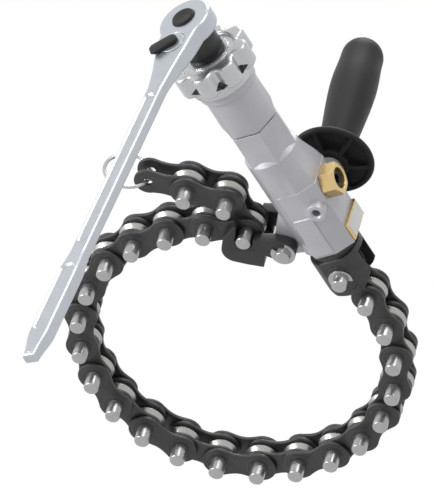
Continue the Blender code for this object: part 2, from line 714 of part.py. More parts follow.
def add_lug(body):
    """Lug between the hook's arms, bored for the hook's pin, with room cut for the arms' eyes."""
    eye = (-HOOK_BACK, HOOK_IN)
    root = BODY_BLOCK_INNER - OVERRUN
    lug_top = CHEEK_FLOOR - CLEARANCE
    swell = arc(eye, LUG_RADIUS, 0, LUG_TURN, 8)
    heel = -BODY_FRONT - BODY_PAD_LENGTH - LUG_RADIUS
    outline = swell + [(heel, root), (-BODY_FRONT - CLEARANCE, root)]
    combine(body, plate("lug", outline, -lug_top, lug_top))
    room = HOOK_EYE_RADIUS + 3 * CLEARANCE
    for side in (CHEEK_FLOOR - CLEARANCE, -CHEEK_TOP - OVERRUN):
        cut(body, bore("arm_room", room, HOOK_CHEEK + CLEARANCE + OVERRUN, BODY_SIDES, at(*eye, side)))
    cut(body, bore("hook_pin_bore", PIN_RADIUS + CLEARANCE, 2 * (lug_top + OVERRUN), 2 * PIN_SIDES,
                   at(*eye, -lug_top - OVERRUN)))


def make_nut():
    """Hexagonal brass plug with a deep socket, on a shank in the body's outer side."""
    facing = Matrix.Rotation(90 * DEGREE, 4, "X")
    seat = at(NUT_AT.x, NUT_AT.y - CLEARANCE, 0) @ facing
    prism = cylinder("nut", NUT_FLATS / math.sqrt(3), NUT_LENGTH, 6, seat)
    nut = add_object("brass_nut", prism, BRASS)
    nut.location = YOKE_PIN
    shank = at(NUT_AT.x, NUT_AT.y + NUT_SHANK, 0) @ facing
    combine(nut, cylinder("shank", NUT_SHANK_RADIUS, NUT_SHANK + NUT_FLOOR, BODY_SIDES // 2, shank))
    socket = at(NUT_AT.x, NUT_AT.y - CLEARANCE - NUT_FLOOR, 0) @ facing
    cut(nut, bore("socket", NUT_BORE_RADIUS, NUT_LENGTH, BODY_SIDES // 2, socket))
    return nut


def make_handle():
    """Side handle: stud, ribbed guard and a swelling grip with a domed end."""
    base = HANDLE_BOSS_TOP + CLEARANCE
    guard_floor = base + HANDLE_COLLAR
    guard_top = guard_floor + HANDLE_GUARD
    tip = guard_top + HANDLE_GRIP_LENGTH
    end = HANDLE_TIP_RADIUS
    dome = [(0, tip)]
    for angle in HANDLE_DOME_TURNS:
        dome.append((end * math.cos(angle), tip - end * (1 - math.sin(angle))))
    rim = HANDLE_GUARD / 2
    profile = dome + [
        (HANDLE_SWELL_RADIUS, guard_top + HANDLE_GRIP_LENGTH * HANDLE_SWELL_SHARE),
        (HANDLE_GRIP_RADIUS, guard_top + 2 * HANDLE_GUARD),
        (HANDLE_GRIP_RADIUS, guard_top),
        (HANDLE_GUARD_RADIUS - rim, guard_top),
        (HANDLE_GUARD_RADIUS, guard_top - rim),
        (HANDLE_GUARD_RADIUS, guard_floor),
        (HANDLE_COLLAR_RADIUS, guard_floor),
        (HANDLE_COLLAR_RADIUS, base),
        (HANDLE_STUD_RADIUS, base),
        (HANDLE_STUD_RADIUS, HANDLE_BOSS_TOP - HANDLE_STUD),
        (0, HANDLE_BOSS_TOP - HANDLE_STUD),
    ]
    handle = add_object("side_handle", turned("handle", profile, HANDLE_STEPS), BLACK_PLASTIC)
    handle.location = YOKE_PIN + HANDLE_AT
    half = HANDLE_RIB_WIDTH / 2
    inside = HANDLE_COLLAR_RADIUS - HANDLE_RIB_WIDTH
    outside = HANDLE_GUARD_RADIUS - HANDLE_GUARD
    outline = [(inside, base), (HANDLE_COLLAR_RADIUS + HANDLE_COLLAR, base), (outside, guard_floor),
               (outside, guard_floor + rim), (inside, guard_floor + rim)]
    for number in range(HANDLE_RIBS):
        rib = plate("rib", outline, -half, half, Matrix.Rotation(90 * DEGREE, 4, "X"))
        rib.transform(Matrix.Rotation(2 * math.pi * number / HANDLE_RIBS, 4, "Z"))
        combine(handle, rib)
    return handle


def knob_outline():
    """Scalloped outline of the star knob."""
    points = []
    count = KNOB_LOBES * KNOB_LOBE_POINTS
    for number in range(count):
        angle = 2 * math.pi * number / count
        valley = ((1 - math.cos(angle * KNOB_LOBES)) / 2) ** KNOB_VALLEY_SHARPNESS
        radius = KNOB_RADIUS - KNOB_LOBE_DEPTH * valley
        points.append((radius * math.cos(angle), radius * math.sin(angle)))
    return points


def make_knob():
    """Star knob: a flange that runs on the body, a lobed rim and a boss, on the feed screw."""
    rim = plate("rim", knob_outline(), 0, KNOB_RIM, along_body(KNOB_RIM_FRONT))
    knob = add_object("feed_knob", rim, CAST_ALUMINIUM)
    knob.location = YOKE_PIN
    combine(knob, cylinder("flange", KNOB_FLANGE_RADIUS, KNOB_FLANGE + KNOB_RIM / 2, BODY_SIDES,
                           along_body(KNOB_FRONT)))
    boss_root = (KNOB_FLANGE_RADIUS + KNOB_BOSS_RADIUS) / 2
    combine(knob, cone("boss", boss_root, KNOB_BOSS_RADIUS, KNOB_BOSS + KNOB_RIM / 4, BODY_SIDES,
                       along_body(KNOB_RIM_REAR - KNOB_RIM / 4)))
    for number in range(KNOB_LOBES):
        turn = Matrix.Rotation(2 * math.pi * (number + 0.5) / KNOB_LOBES, 4, "Z")
        place = along_body(KNOB_FRONT + KNOB_FLANGE / 2) @ turn @ at(KNOB_FLANGE_RADIUS, 0, 0)
        cut(knob, cylinder("pocket", KNOB_POCKET_RADIUS, KNOB_FLANGE, PIN_SIDES, place))
    cut(knob, bore("screw_bore", SCREW_RADIUS + CLEARANCE, KNOB_REAR - KNOB_FRONT + 2 * OVERRUN,
                   BODY_SIDES // 2, along_body(KNOB_FRONT - OVERRUN)))
    return knob


def make_screw():
    """Feed screw from inside the plunger to the drive hub and the spigot that the wrench turns on."""
    thread = cylinder("screw", SCREW_RADIUS, HUB_REAR - SCREW_TIP, BODY_SIDES // 2, along_body(SCREW_TIP))
    screw = add_object("feed_screw", thread, BLACK_STEEL)
    screw.location = YOKE_PIN
    combine(screw, cylinder("hub", HUB_RADIUS, HUB_LENGTH, BODY_SIDES, along_body(KNOB_REAR + CLEARANCE)))
    combine(screw, cylinder("spigot", SPIGOT_RADIUS, SPIGOT_LENGTH + HUB_LENGTH / 2, BODY_SIDES // 2,
                            along_body(HUB_REAR - HUB_LENGTH / 2)))
    return screw


def wrench_frame():
    """Matrix whose X runs along the wrench and whose Z points away from the body, on the drive's axis."""
    down = Vector((0, math.sin(WRENCH_SWING), -math.cos(WRENCH_SWING)))
    away = Vector((-1, 0, 0))
    across = away.cross(down)
    turn = Matrix((down, across, away)).transposed().to_4x4()
    return Matrix.Translation(YOKE_PIN + Vector((-HEAD_MIDDLE, 0, 0))) @ turn


def bevelled(mesh, width):
    """Round the rim of a plate's two faces."""
    shape = bmesh.new()
    shape.from_mesh(mesh)
    rims = [edge for edge in shape.edges
            if edge.is_manifold and edge.calc_face_angle(0) > 60 * DEGREE]
    bmesh.ops.bevel(shape, geom=rims, offset=width, segments=2, profile=0.5, affect="EDGES")
    shape.to_mesh(mesh)
    shape.free()
    smooth(mesh)
    return mesh


def head_outline():
    """Pear outline of the wrench's head, with its narrow end on the shank."""
    neck = WRENCH_SHANK_WIDTH / 2
    along, across = HEAD_SHOULDER_SHARES
    shoulder = (WRENCH_HEAD_REACH * along, WRENCH_HEAD_RADIUS * across)
    along, across = HEAD_NECK_SHARES
    throat = (WRENCH_HEAD_REACH * along, neck * across)
    upper = [(WRENCH_HEAD_REACH, neck), throat, shoulder]
    lower = [(x, -y) for x, y in reversed(upper)]
    return upper + arc((0, 0), WRENCH_HEAD_RADIUS, HEAD_TURN, 2 * math.pi - HEAD_TURN, 13) + lower


def make_wrench():
    """Ratchet wrench: a pear-shaped head, a panelled shank and a wider grip that narrows at its end."""
    half = WRENCH_HEAD_THICKNESS / 2
    head = bevelled(plate("head", head_outline(), -half, half), WRENCH_EDGE)
    wrench = add_object("ratchet_wrench", head, SATIN_CHROME)
    wrench.matrix_world = wrench_frame()
    shank = WRENCH_SHANK_THICKNESS / 2
    waist = WRENCH_SHANK_WIDTH / 2
    bar = [(WRENCH_HEAD_RADIUS, -waist), (WRENCH_GRIP_START, -waist), (WRENCH_GRIP_START, waist),
           (WRENCH_HEAD_RADIUS, waist)]
    combine(wrench, bevelled(plate("shank", bar, -shank, shank), WRENCH_EDGE))
    grip = WRENCH_GRIP_WIDTH / 2
    thick = WRENCH_GRIP_THICKNESS / 2
    tip = WRENCH_TIP_WIDTH / 2
    upper = [(WRENCH_REACH, tip), (WRENCH_TIP_START, grip), (WRENCH_GRIP_START + WRENCH_GRIP_FLARE, grip),
             (WRENCH_GRIP_START - WRENCH_GRIP_FLARE / 2, waist)]
    lower = [(x, -y) for x, y in reversed(upper)]
    combine(wrench, bevelled(plate("grip", upper + lower, -thick, thick), WRENCH_EDGE))
    margin = WRENCH_PANEL_MARGIN
    shank_panel = (WRENCH_HEAD_REACH + waist, WRENCH_GRIP_START - WRENCH_GRIP_FLARE, waist - margin, shank)
    grip_panel = (WRENCH_GRIP_START + WRENCH_GRIP_FLARE / 2, WRENCH_TIP_START, grip - margin, thick)
    for start, end, panel, surface in (shank_panel, grip_panel):
        low, high = surface - WRENCH_PANEL_DEPTH, surface + WRENCH_PANEL_DEPTH
        for floor, top in ((low, high), (-high, -low)):
            cut(wrench, box("panel", (start, -panel, floor), (end, panel, top)))
    cut(wrench, bore("spigot_bore", SPIGOT_RADIUS + CLEARANCE, SPIGOT_LENGTH + OVERRUN, BODY_SIDES // 2,
                     at(0, 0, -half - OVERRUN)))
    cut(wrench, bore("button_bore", BUTTON_RADIUS + CLEARANCE, BUTTON_LENGTH + OVERRUN, BODY_SIDES // 2,
                     at(0, 0, half - BUTTON_LENGTH)))
    cut(wrench, bore("lever_seat", LEVER_BOSS_RADIUS + CLEARANCE, LEVER_BOSS + OVERRUN, BODY_SIDES // 2,
                     at(LEVER_REACH, 0, half - LEVER_BOSS)))
    stud = LEVER_BOSS + LEVER_STUD + CLEARANCE
    cut(wrench, bore("stud_bore", LEVER_STUD_RADIUS + CLEARANCE, stud + OVERRUN, PIN_SIDES,
                     at(LEVER_REACH, 0, half - stud)))
    return wrench


def make_lever():
    """Reversing lever: a disc let into the head's face, on a stud, with a thumb bar to one side."""
    face = WRENCH_HEAD_THICKNESS / 2
    seat = face - LEVER_BOSS + CLEARANCE
    lift = 2 * CLEARANCE
    boss = cylinder("boss", LEVER_BOSS_RADIUS, LEVER_BOSS + lift, BODY_SIDES // 2, at(0, 0, seat))
    lever = add_object("reversing_lever", boss, BLACK_PLASTIC)
    lever.matrix_world = wrench_frame() @ at(LEVER_REACH, 0, 0) @ Matrix.Rotation(LEVER_TURN, 4, "Z")
    half = LEVER_WIDTH / 2
    shoulder = LEVER_LENGTH - half / 2
    outline = arc((0, 0), half, 0, math.pi, 7)
    outline += [(-half, -shoulder), (-half / 2, -LEVER_LENGTH), (half / 2, -LEVER_LENGTH), (half, -shoulder)]
    combine(lever, plate("bar", outline, face + lift, face + LEVER_RISE))
    combine(lever, cylinder("stud", LEVER_STUD_RADIUS, LEVER_STUD + LEVER_BOSS / 2, PIN_SIDES,
                            at(0, 0, seat - LEVER_STUD)))
    return lever


def make_button():
    """Release button in the middle of the wrench's head, proud of its face by more than its travel."""
    face = WRENCH_HEAD_THICKNESS / 2
    floor = face - BUTTON_LENGTH + BUTTON_TRAVEL + CLEARANCE
    top = face + BUTTON_RISE
    profile = [(0, top), (BUTTON_RADIUS - BUTTON_CROWN, top), (BUTTON_RADIUS, top - BUTTON_CROWN / 2),
               (BUTTON_RADIUS, floor), (0, floor)]
    button = add_object("release_button", turned("button", profile, BODY_SIDES // 2), BLACK_PLASTIC)
    button.matrix_world = wrench_frame()
    return button


make_chain()
make_ring()
make_yoke()
make_hook()
make_body()
make_nut()
make_handle()
make_knob()
make_screw()
make_wrench()
make_lever()
make_button()
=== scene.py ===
"""Soil pipe cutter: fine pieces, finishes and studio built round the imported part.

The pipe's axis is the world Z axis. The chain's pins come from the part's joints, and the feed
body lies along X from the yoke's pin. Lengths are in metres.
"""
import json
from math import atan2, cos, pi, sin, sqrt

import bmesh
import bpy
from mathutils import Matrix, Vector


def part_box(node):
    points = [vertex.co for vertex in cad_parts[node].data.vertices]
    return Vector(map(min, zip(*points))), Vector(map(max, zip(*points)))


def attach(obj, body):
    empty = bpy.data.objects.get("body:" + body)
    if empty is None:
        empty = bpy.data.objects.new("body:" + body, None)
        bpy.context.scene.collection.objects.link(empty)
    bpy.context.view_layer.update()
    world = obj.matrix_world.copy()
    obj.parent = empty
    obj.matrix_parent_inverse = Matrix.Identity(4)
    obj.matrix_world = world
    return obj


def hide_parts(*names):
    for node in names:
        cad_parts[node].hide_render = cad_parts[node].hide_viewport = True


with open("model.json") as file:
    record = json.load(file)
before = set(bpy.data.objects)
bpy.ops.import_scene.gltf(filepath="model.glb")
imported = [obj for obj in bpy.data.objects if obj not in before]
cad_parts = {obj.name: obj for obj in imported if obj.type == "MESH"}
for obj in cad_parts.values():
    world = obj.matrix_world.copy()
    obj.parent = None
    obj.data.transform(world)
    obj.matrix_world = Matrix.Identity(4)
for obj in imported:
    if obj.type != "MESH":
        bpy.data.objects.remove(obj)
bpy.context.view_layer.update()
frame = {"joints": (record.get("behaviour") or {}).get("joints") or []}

MM = 0.001
DEGREE = pi / 180
JOINTS = {joint["name"]: joint for joint in frame["joints"]}

# Fits and facets
CLEARANCE = 0.3 * MM
OVERRUN = 2.0 * MM
WELD = 0.001 * MM
SHARP = 32 * DEGREE
ROUND_STEPS = 72
PIN_STEPS = 36
EDGE_STEPS = 4
CORNER_POINTS = 9
INSET_SHORTEST_SUM = 0.2
INSET_LEAST_SHARE = 0.5
HEX_SECTOR = 60 * DEGREE

# Chain
LINKS = 25
CAUGHT = 22
CHAIN_PITCH = 25.4 * MM
PLATE_THICKNESS = 2.4 * MM
PLATE_END_RADIUS = 10.5 * MM
PLATE_WAIST = 15.2 * MM
PLATE_END_ANGLE = 65 * DEGREE
PLATE_EDGE = 0.55 * MM
PLATE_END_POINTS = 25
PLATE_WAIST_POINTS = 9
BEAD_RADIUS = 7.4 * MM
BEAD_WIDTH = 1.5 * MM
BEAD_RISE = 0.2 * MM
BEAD_STEPS = 6
PIN_RADIUS = 4.7 * MM
PIN_STANDOUT = 10.6 * MM
PIN_FAR_STANDOUT = 6.0 * MM
PIN_CHAMFER = 0.8 * MM
PIN_CROWN = 0.25 * MM
BUSH_WALL = 1.3 * MM
WHEEL_RADIUS = 10.9 * MM
WHEEL_WIDTH = 7.6 * MM
WHEEL_HUB = 8.3 * MM
WHEEL_SHOULDER = 0.7 * MM
END_LINK_REACH = 24.4 * MM
END_LINK_TIP_RADIUS = 9.0 * MM
END_LINK_HOLE_RADIUS = 2.8 * MM
RING_RADIUS = 14.3 * MM
RING_WIRE_RADIUS = 1.2 * MM
RING_POINTS = 96
RING_WIRE_POINTS = 16

# Yoke, hook and clips
YOKE_BARREL_RADIUS = 17.4 * MM
YOKE_FORK_REACH = 14.2 * MM
YOKE_FORK_HEIGHT = 31.0 * MM
YOKE_PIN_STANDOUT = 7.5 * MM
YOKE_ROOT = 3.0 * MM
YOKE_EDGE = 1.2 * MM
YOKE_GROOVE_RADIUS = 10.0 * MM
YOKE_GROOVE = 0.5 * MM
YOKE_NOSE_POINTS = 41
PLUNGER_RADIUS = 15.0 * MM
PLUNGER_SHOW = 7.0 * MM
PLUNGER_SEAT = 14.0 * MM
FEED_TRAVEL = 6.0 * MM
HOOK_CHEEK = 8.4 * MM
HOOK_EYE_RADIUS = 7.6 * MM
HOOK_PIN_STANDOUT = 5.0 * MM
HOOK_MOUTH_PLAY = 0.6 * MM
HOOK_MOUTH_TURN = -145 * DEGREE
HOOK_BACK_DEPTH = 18.0 * MM
HOOK_BACK_ROUND = 9.0 * MM
HOOK_BRIDGE = 4.7 * MM
HOOK_SHOULDER = 10.6 * MM
HOOK_LIP = 10.5 * MM
HOOK_LIP_TIP = 2.2 * MM
HOOK_ROUNDING = 0.8 * MM
HOOK_EDGE = 0.9 * MM
HOOK_MOUTH_POINTS = 25
HOOK_HEEL_POINTS = 17
HOOK_EYE_POINTS = 31
CLIP_WALL = 3.0 * MM
CLIP_THICKNESS = 1.4 * MM
CLIP_GAP = 70 * DEGREE
CLIP_TURN = -35 * DEGREE
CLIP_POINTS = 40
CLIP_EDGE = 0.25 * MM

# Feed body
BODY_BLOCK_LENGTH = 52.0 * MM
BODY_BLOCK_HEIGHT = 35.6 * MM
BODY_BLOCK_INNER = 17.8 * MM
BODY_BLOCK_OUTER = 20.3 * MM
BODY_BLOCK_CORNER = 6.0 * MM
BODY_EDGE = 0.8 * MM
BODY_NEAR_FACE_END = 5.2 * MM
BODY_NEAR_FACET_TOP = 4.3 * MM
BODY_BLEND_STEPS = 10
BODY_FACET_WIDTH = 11.2 * MM
BODY_FACET_HEIGHT = 6.8 * MM
BODY_CONE = 3.2 * MM
BODY_GROOVE = 1.1 * MM
BODY_BARREL_RADIUS = 17.9 * MM
BODY_BARREL_LENGTH = 25.0 * MM
BODY_HEX_FLATS = 31.4 * MM
BODY_HEX_LENGTH = 29.0 * MM
BODY_COLLAR_RADIUS = 17.7 * MM
BODY_COLLAR_LENGTH = 26.0 * MM
BODY_FLANGE_RADIUS = 19.2 * MM
BODY_FLANGE_LENGTH = 6.0 * MM
BODY_PAD_WIDTH = 17.0 * MM
BODY_PAD_LENGTH = 32.0 * MM
BODY_PAD_RISE = 0.9 * MM
HANDLE_BACK = 34.0 * MM
HANDLE_OUT = 13.0 * MM
HANDLE_BOSS_TOP = 26.0 * MM
HANDLE_STUD_RADIUS = 5.0 * MM
HANDLE_STUD = 16.0 * MM
NEAR_BOSS_RADIUS = 6.2 * MM
NEAR_HOLE_RADIUS = 2.6 * MM
NEAR_HOLE_DEPTH = 7.0 * MM
NEAR_HOLE_SINK = 1.0 * MM
LUG_RADIUS = 8.6 * MM
LUG_TURN = 150 * DEGREE
LUG_POINTS = 33

# Brass nut and blank plate
NUT_BACK = 42.5 * MM
NUT_FLATS = 18.4 * MM
NUT_LENGTH = 9.6 * MM
NUT_CHAMFER = 1.3 * MM
NUT_BORE_RADIUS = 6.6 * MM
NUT_FLOOR = 2.0 * MM
NUT_SHANK_RADIUS = 5.6 * MM
NUT_SHANK = 4.5 * MM
PLUG_SCREW_TOP = 7.4 * MM
PLUG_SCREW_SOCKET = 3.4 * MM
BADGE_LENGTH = 12.6 * MM
BADGE_NEAR = -10.0 * MM
BADGE_FAR = 14.5 * MM
BADGE_THICKNESS = 1.8 * MM
BADGE_RIM = 1.1 * MM
BADGE_FRONT = 1.2 * MM

# Feed screw and knob
SCREW_RADIUS = 8.0 * MM
SCREW_ENTRY = 9.5 * MM
KNOB_RADIUS = 26.5 * MM
KNOB_LOBES = 8
KNOB_LOBE_DEPTH = 5.2 * MM
KNOB_LOBE_POINTS = 24
KNOB_VALLEY_SHARPNESS = 2
KNOB_RIM = 9.5 * MM
KNOB_EDGE = 2.2 * MM
KNOB_FLANGE_RADIUS = 21.5 * MM
KNOB_FLANGE = 5.0 * MM
KNOB_FACE_RADIUS = 19.0 * MM
KNOB_SHADE_RING_RADIUS = 20.0 * MM
KNOB_BOSS = 6.5 * MM
KNOB_POCKET_WIDTH = 8.4 * MM
KNOB_POCKET_LENGTH = 6.4 * MM
KNOB_POCKET_AT = 3.6 * MM
HUB_RADIUS = 12.0 * MM
HUB_LENGTH = 17.0 * MM
HUB_EDGE = 0.9 * MM
SPIGOT_RADIUS = 9.0 * MM
SPIGOT_LENGTH = 6.5 * MM

# Ratchet wrench
WRENCH_SWING = 8.4 * DEGREE
WRENCH_HEAD_RADIUS = 17.3 * MM
WRENCH_HEAD_THICKNESS = 12.5 * MM
WRENCH_HEAD_REACH = 58.0 * MM
WRENCH_SHANK_WIDTH = 11.4 * MM
WRENCH_SHANK_THICKNESS = 8.2 * MM
WRENCH_GRIP_START = 205.0 * MM
WRENCH_GRIP_FLARE = 13.0 * MM
WRENCH_GRIP_WIDTH = 14.4 * MM
WRENCH_GRIP_THICKNESS = 10.0 * MM
WRENCH_TIP_START = 268.0 * MM
WRENCH_TIP_WIDTH = 8.6 * MM
WRENCH_TIP_THICKNESS = 8.0 * MM
WRENCH_REACH = 289.5 * MM
WRENCH_EDGE = 2.4 * MM
WRENCH_PANEL_DEPTH = 1.2 * MM
WRENCH_PANEL_MARGIN = 1.5 * MM
PANEL_ROUND_SHARE = 0.9
WRENCH_STATIONS = 130
WRENCH_BOW_STATIONS = 24
WRENCH_EDGE_STEPS = 6
HEAD_TURN = 50 * DEGREE
HEAD_SHOULDER_SHARES = (0.45, 0.66)
HEAD_NECK_SHARES = (0.75, 1.35)
BUTTON_RADIUS = 7.4 * MM
BUTTON_LENGTH = 4.0 * MM
BUTTON_RISE = 1.6 * MM
BUTTON_CROWN = 0.8 * MM
BUTTON_TRAVEL = 1.5 * MM
LEVER_REACH = 21.5 * MM
LEVER_TURN = 33 * DEGREE
LEVER_BOSS_RADIUS = 8.2 * MM
LEVER_BOSS = 1.2 * MM
LEVER_WIDTH = 8.6 * MM
LEVER_LENGTH = 14.4 * MM
LEVER_RISE = 3.2 * MM
LEVER_END_POINTS = 17

# Side handle
HANDLE_GUARD_RADIUS = 26.4 * MM
HANDLE_GUARD = 4.0 * MM
HANDLE_LIP = 3.6 * MM
HANDLE_WEB = 2.4 * MM
HANDLE_COLLAR = 3.5 * MM
HANDLE_COLLAR_RADIUS = 11.0 * MM
HANDLE_RIBS = 6
HANDLE_RIB_WIDTH = 2.4 * MM
HANDLE_GRIP_RADIUS = 11.2 * MM
HANDLE_SWELL_RADIUS = 14.6 * MM
HANDLE_SWELL_SHARE = 0.62
HANDLE_TIP_RADIUS = 13.2 * MM
HANDLE_GRIP_LENGTH = 104.0 * MM
HANDLE_GRIP_STEPS = 28
HANDLE_DOME_STEPS = 10
HANDLE_RIM_STEPS = 6
HANDLE_ROOT_STEPS = 5

# Finishes: how grain and patches mix, where tones start and end, how far a rim has to turn before its painted
# highlight and wear come in
GRAIN_DETAIL = 3.0
PATCH_DETAIL = 4.0
GRAIN_SHARE = 0.2
PATCH_SHARE = 0.8
TONE_LOW = 0.3
TONE_HIGH = 0.7
RIM_START = 0.98
RIM_FULL = 0.8
RELIEF = 0.6
BEVEL_SAMPLES = 4

# Places that follow from the sizes
INNER_FLOOR = WHEEL_WIDTH / 2 + CLEARANCE
INNER_TOP = INNER_FLOOR + PLATE_THICKNESS
OUTER_FLOOR = INNER_TOP + CLEARANCE
OUTER_TOP = OUTER_FLOOR + PLATE_THICKNESS
PIN_TOP = OUTER_TOP + PIN_FAR_STANDOUT
PIN_FOOT = -OUTER_TOP - PIN_STANDOUT
BUSH_BORE = PIN_RADIUS + CLEARANCE
BUSH_RADIUS = BUSH_BORE + BUSH_WALL
WHEEL_BORE = BUSH_RADIUS + CLEARANCE
CHEEK_FLOOR = OUTER_TOP + CLEARANCE
CHEEK_TOP = CHEEK_FLOOR + HOOK_CHEEK
FORK_ROOT = PLATE_END_RADIUS + 2 * CLEARANCE
PLUNGER_FRONT = FORK_ROOT + YOKE_ROOT
BODY_FRONT = PLUNGER_FRONT + PLUNGER_SHOW
BARREL_END = BODY_FRONT - FEED_TRAVEL - CLEARANCE
PLUNGER_REAR = BODY_FRONT + PLUNGER_SEAT
BLOCK_REAR = BODY_FRONT + BODY_BLOCK_LENGTH
BARREL_REAR = BLOCK_REAR + BODY_BARREL_LENGTH
HEX_REAR = BARREL_REAR + BODY_HEX_LENGTH
COLLAR_REAR = HEX_REAR + BODY_COLLAR_LENGTH
FLANGE_REAR = COLLAR_REAR + BODY_FLANGE_LENGTH
KNOB_FRONT = FLANGE_REAR + CLEARANCE
KNOB_RIM_FRONT = KNOB_FRONT + KNOB_FLANGE
KNOB_RIM_REAR = KNOB_RIM_FRONT + KNOB_RIM
KNOB_REAR = KNOB_RIM_REAR + KNOB_BOSS
HUB_FRONT = KNOB_REAR + CLEARANCE
HUB_REAR = HUB_FRONT + HUB_LENGTH
HEAD_MIDDLE = HUB_REAR + CLEARANCE + WRENCH_HEAD_THICKNESS / 2
BLOCK_TOP = BODY_BLOCK_HEIGHT / 2

PINS = [Vector(JOINTS[f"link_hinge_{number:02d}"]["pos_m"]) for number in range(LINKS)]
PINS.append(Vector(JOINTS["ring_swing"]["pos_m"]))
YOKE_PIN = PINS[0]
CATCH_PIN = PINS[CAUGHT]
HOOK_PIN = Vector(JOINTS["hook_swing"]["pos_m"])
HANDLE_AT = Vector((-BODY_FRONT - HANDLE_BACK, -HANDLE_OUT, 0))
NUT_AT = Vector((-BODY_FRONT - NUT_BACK, -BODY_BLOCK_OUTER, 0))


def at(*place):
    """Matrix that moves to three coordinates, or to a vector."""
    return Matrix.Translation(place[0] if len(place) == 1 else place)


def turn(angle, axis):
    return Matrix.Rotation(angle, 4, axis)


def along_body(distance):
    """Matrix that stands a Z shape on the body's axis at a distance from the yoke, towards the knob."""
    return at(-distance, 0, 0) @ turn(-90 * DEGREE, "Y")


def link_place(number):
    heading = PINS[number + 1] - PINS[number]
    return at(PINS[number]) @ turn(atan2(heading.y, heading.x), "Z")


STEM = along_body(0)


# Finishes

def feed(tree, socket, value):
    """Set an input to a value, or link it where the value is an output."""
    if isinstance(value, bpy.types.NodeSocket):
        tree.links.new(value, socket)
    else:
        socket.default_value = value


def linked(tree, kind, **inputs):
    """New node of a kind with its named inputs fed."""
    node = tree.nodes.new(kind)
    for key, value in inputs.items():
        feed(tree, node.inputs[key.replace("_", " ")], value)
    return node


def maths(tree, operation, *terms, clamp=False):
    """Output of a math node on numbers and outputs."""
    node = tree.nodes.new("ShaderNodeMath")
    node.operation = operation
    node.use_clamp = clamp
    for socket, term in zip(node.inputs, terms):
        feed(tree, socket, term)
    return node.outputs[0]


def finish(name, colour, metallic, roughness, grain, patch, vary=0.08, rough_vary=0.08, depth=0.02,
           stretch=(1, 1, 1), rim_highlight_and_wear_colour=None, edge_radius=0.5 * MM, coat=0.0, specular=0.5):
    """Material with a fine grain, slow patches of tone and gloss, soft edges, and rims lightened by painted
    highlight and by wear.
    """
    material = bpy.data.materials.new(name)
    material.use_nodes = True
    tree = material.node_tree
    shader = tree.nodes["Principled BSDF"]
    place = linked(tree, "ShaderNodeTexCoord").outputs["Object"]
    mapped = linked(tree, "ShaderNodeMapping", Vector=place, Scale=stretch)
    fine = linked(tree, "ShaderNodeTexNoise", Vector=mapped.outputs[0], Scale=grain,
                  Detail=GRAIN_DETAIL).outputs["Fac"]
    slow = linked(tree, "ShaderNodeTexNoise", Vector=place, Scale=patch, Detail=PATCH_DETAIL).outputs["Fac"]
    speck = maths(tree, "MULTIPLY", fine, GRAIN_SHARE)
    blend = maths(tree, "MULTIPLY_ADD", slow, PATCH_SHARE, speck)
    tone = linked(tree, "ShaderNodeValToRGB", Fac=blend)
    for stop, position, factor in zip(tone.color_ramp.elements, (TONE_LOW, TONE_HIGH), (1 - vary, 1 + vary)):
        stop.position = position
        stop.color = (*[min(part * factor, 1) for part in colour], 1)
    soft = linked(tree, "ShaderNodeBevel", Radius=edge_radius)
    soft.samples = BEVEL_SAMPLES
    shown = tone.outputs["Color"]
    # Rims lightened in patches: a painted highlight on the bright metals and brass, wear on the black steels.
    if rim_highlight_and_wear_colour:
        flat = linked(tree, "ShaderNodeNewGeometry")
        facing = tree.nodes.new("ShaderNodeVectorMath")
        facing.operation = "DOT_PRODUCT"
        feed(tree, facing.inputs[0], soft.outputs[0])
        feed(tree, facing.inputs[1], flat.outputs["Normal"])
        highlight_and_wear_rims = linked(tree, "ShaderNodeMapRange", Value=facing.outputs["Value"], From_Min=RIM_START,
                      From_Max=RIM_FULL)
        highlight_and_wear_mix = tree.nodes.new("ShaderNodeMix")
        highlight_and_wear_mix.data_type = "RGBA"
        feed(tree, highlight_and_wear_mix.inputs["Factor"], maths(tree, "MULTIPLY", highlight_and_wear_rims.outputs[0], slow))
        feed(tree, highlight_and_wear_mix.inputs["A"], shown)
        feed(tree, highlight_and_wear_mix.inputs["B"], (*rim_highlight_and_wear_colour, 1))
        shown = highlight_and_wear_mix.outputs["Result"]
    gloss = linked(tree, "ShaderNodeMapRange", Value=blend, From_Min=TONE_LOW, From_Max=TONE_HIGH,
                   To_Min=roughness - rough_vary, To_Max=roughness + rough_vary)
    relief = linked(tree, "ShaderNodeBump", Height=fine, Normal=soft.outputs[0], Strength=RELIEF,
                    Distance=depth * MM)
    for key, value in (("Metallic", metallic), ("Coat Weight", coat), ("Specular IOR Level", specular),
                       ("Base Color", shown), ("Roughness", gloss.outputs[0]), ("Normal", relief.outputs[0])):
        feed(tree, shader.inputs[key], value)
    return material


# Light rim colours below are painted highlights on the metals and brass, and wear on the black steels.
CAST = finish("cast_aluminium", (0.54, 0.54, 0.58), 0.35, 0.38, 1800, 60, vary=0.05, depth=0.03,
              rim_highlight_and_wear_colour=(0.85, 0.85, 0.87))
POLISHED = finish("polished_aluminium", (0.52, 0.53, 0.54), 0.8, 0.28, 1400, 80, vary=0.05, rough_vary=0.03,
                  depth=0.015, rim_highlight_and_wear_colour=(0.92, 0.92, 0.93), edge_radius=0.7 * MM)
BLACK_STEEL = finish("black_steel", (0.05, 0.05, 0.052), 0.35, 0.42, 2200, 120, vary=0.2,
                     rim_highlight_and_wear_colour=(0.2, 0.2, 0.205))
HOOK_STEEL = finish("hook_steel", (0.032, 0.032, 0.034), 0.3, 0.38, 2000, 90, vary=0.2,
                    rim_highlight_and_wear_colour=(0.16, 0.16, 0.165), edge_radius=0.8 * MM)
PIN_STEEL = finish("pin_steel", (0.42, 0.42, 0.42), 0.8, 0.3, 1500, 200, depth=0.01,
                   rim_highlight_and_wear_colour=(0.9, 0.9, 0.9), edge_radius=0.3 * MM)
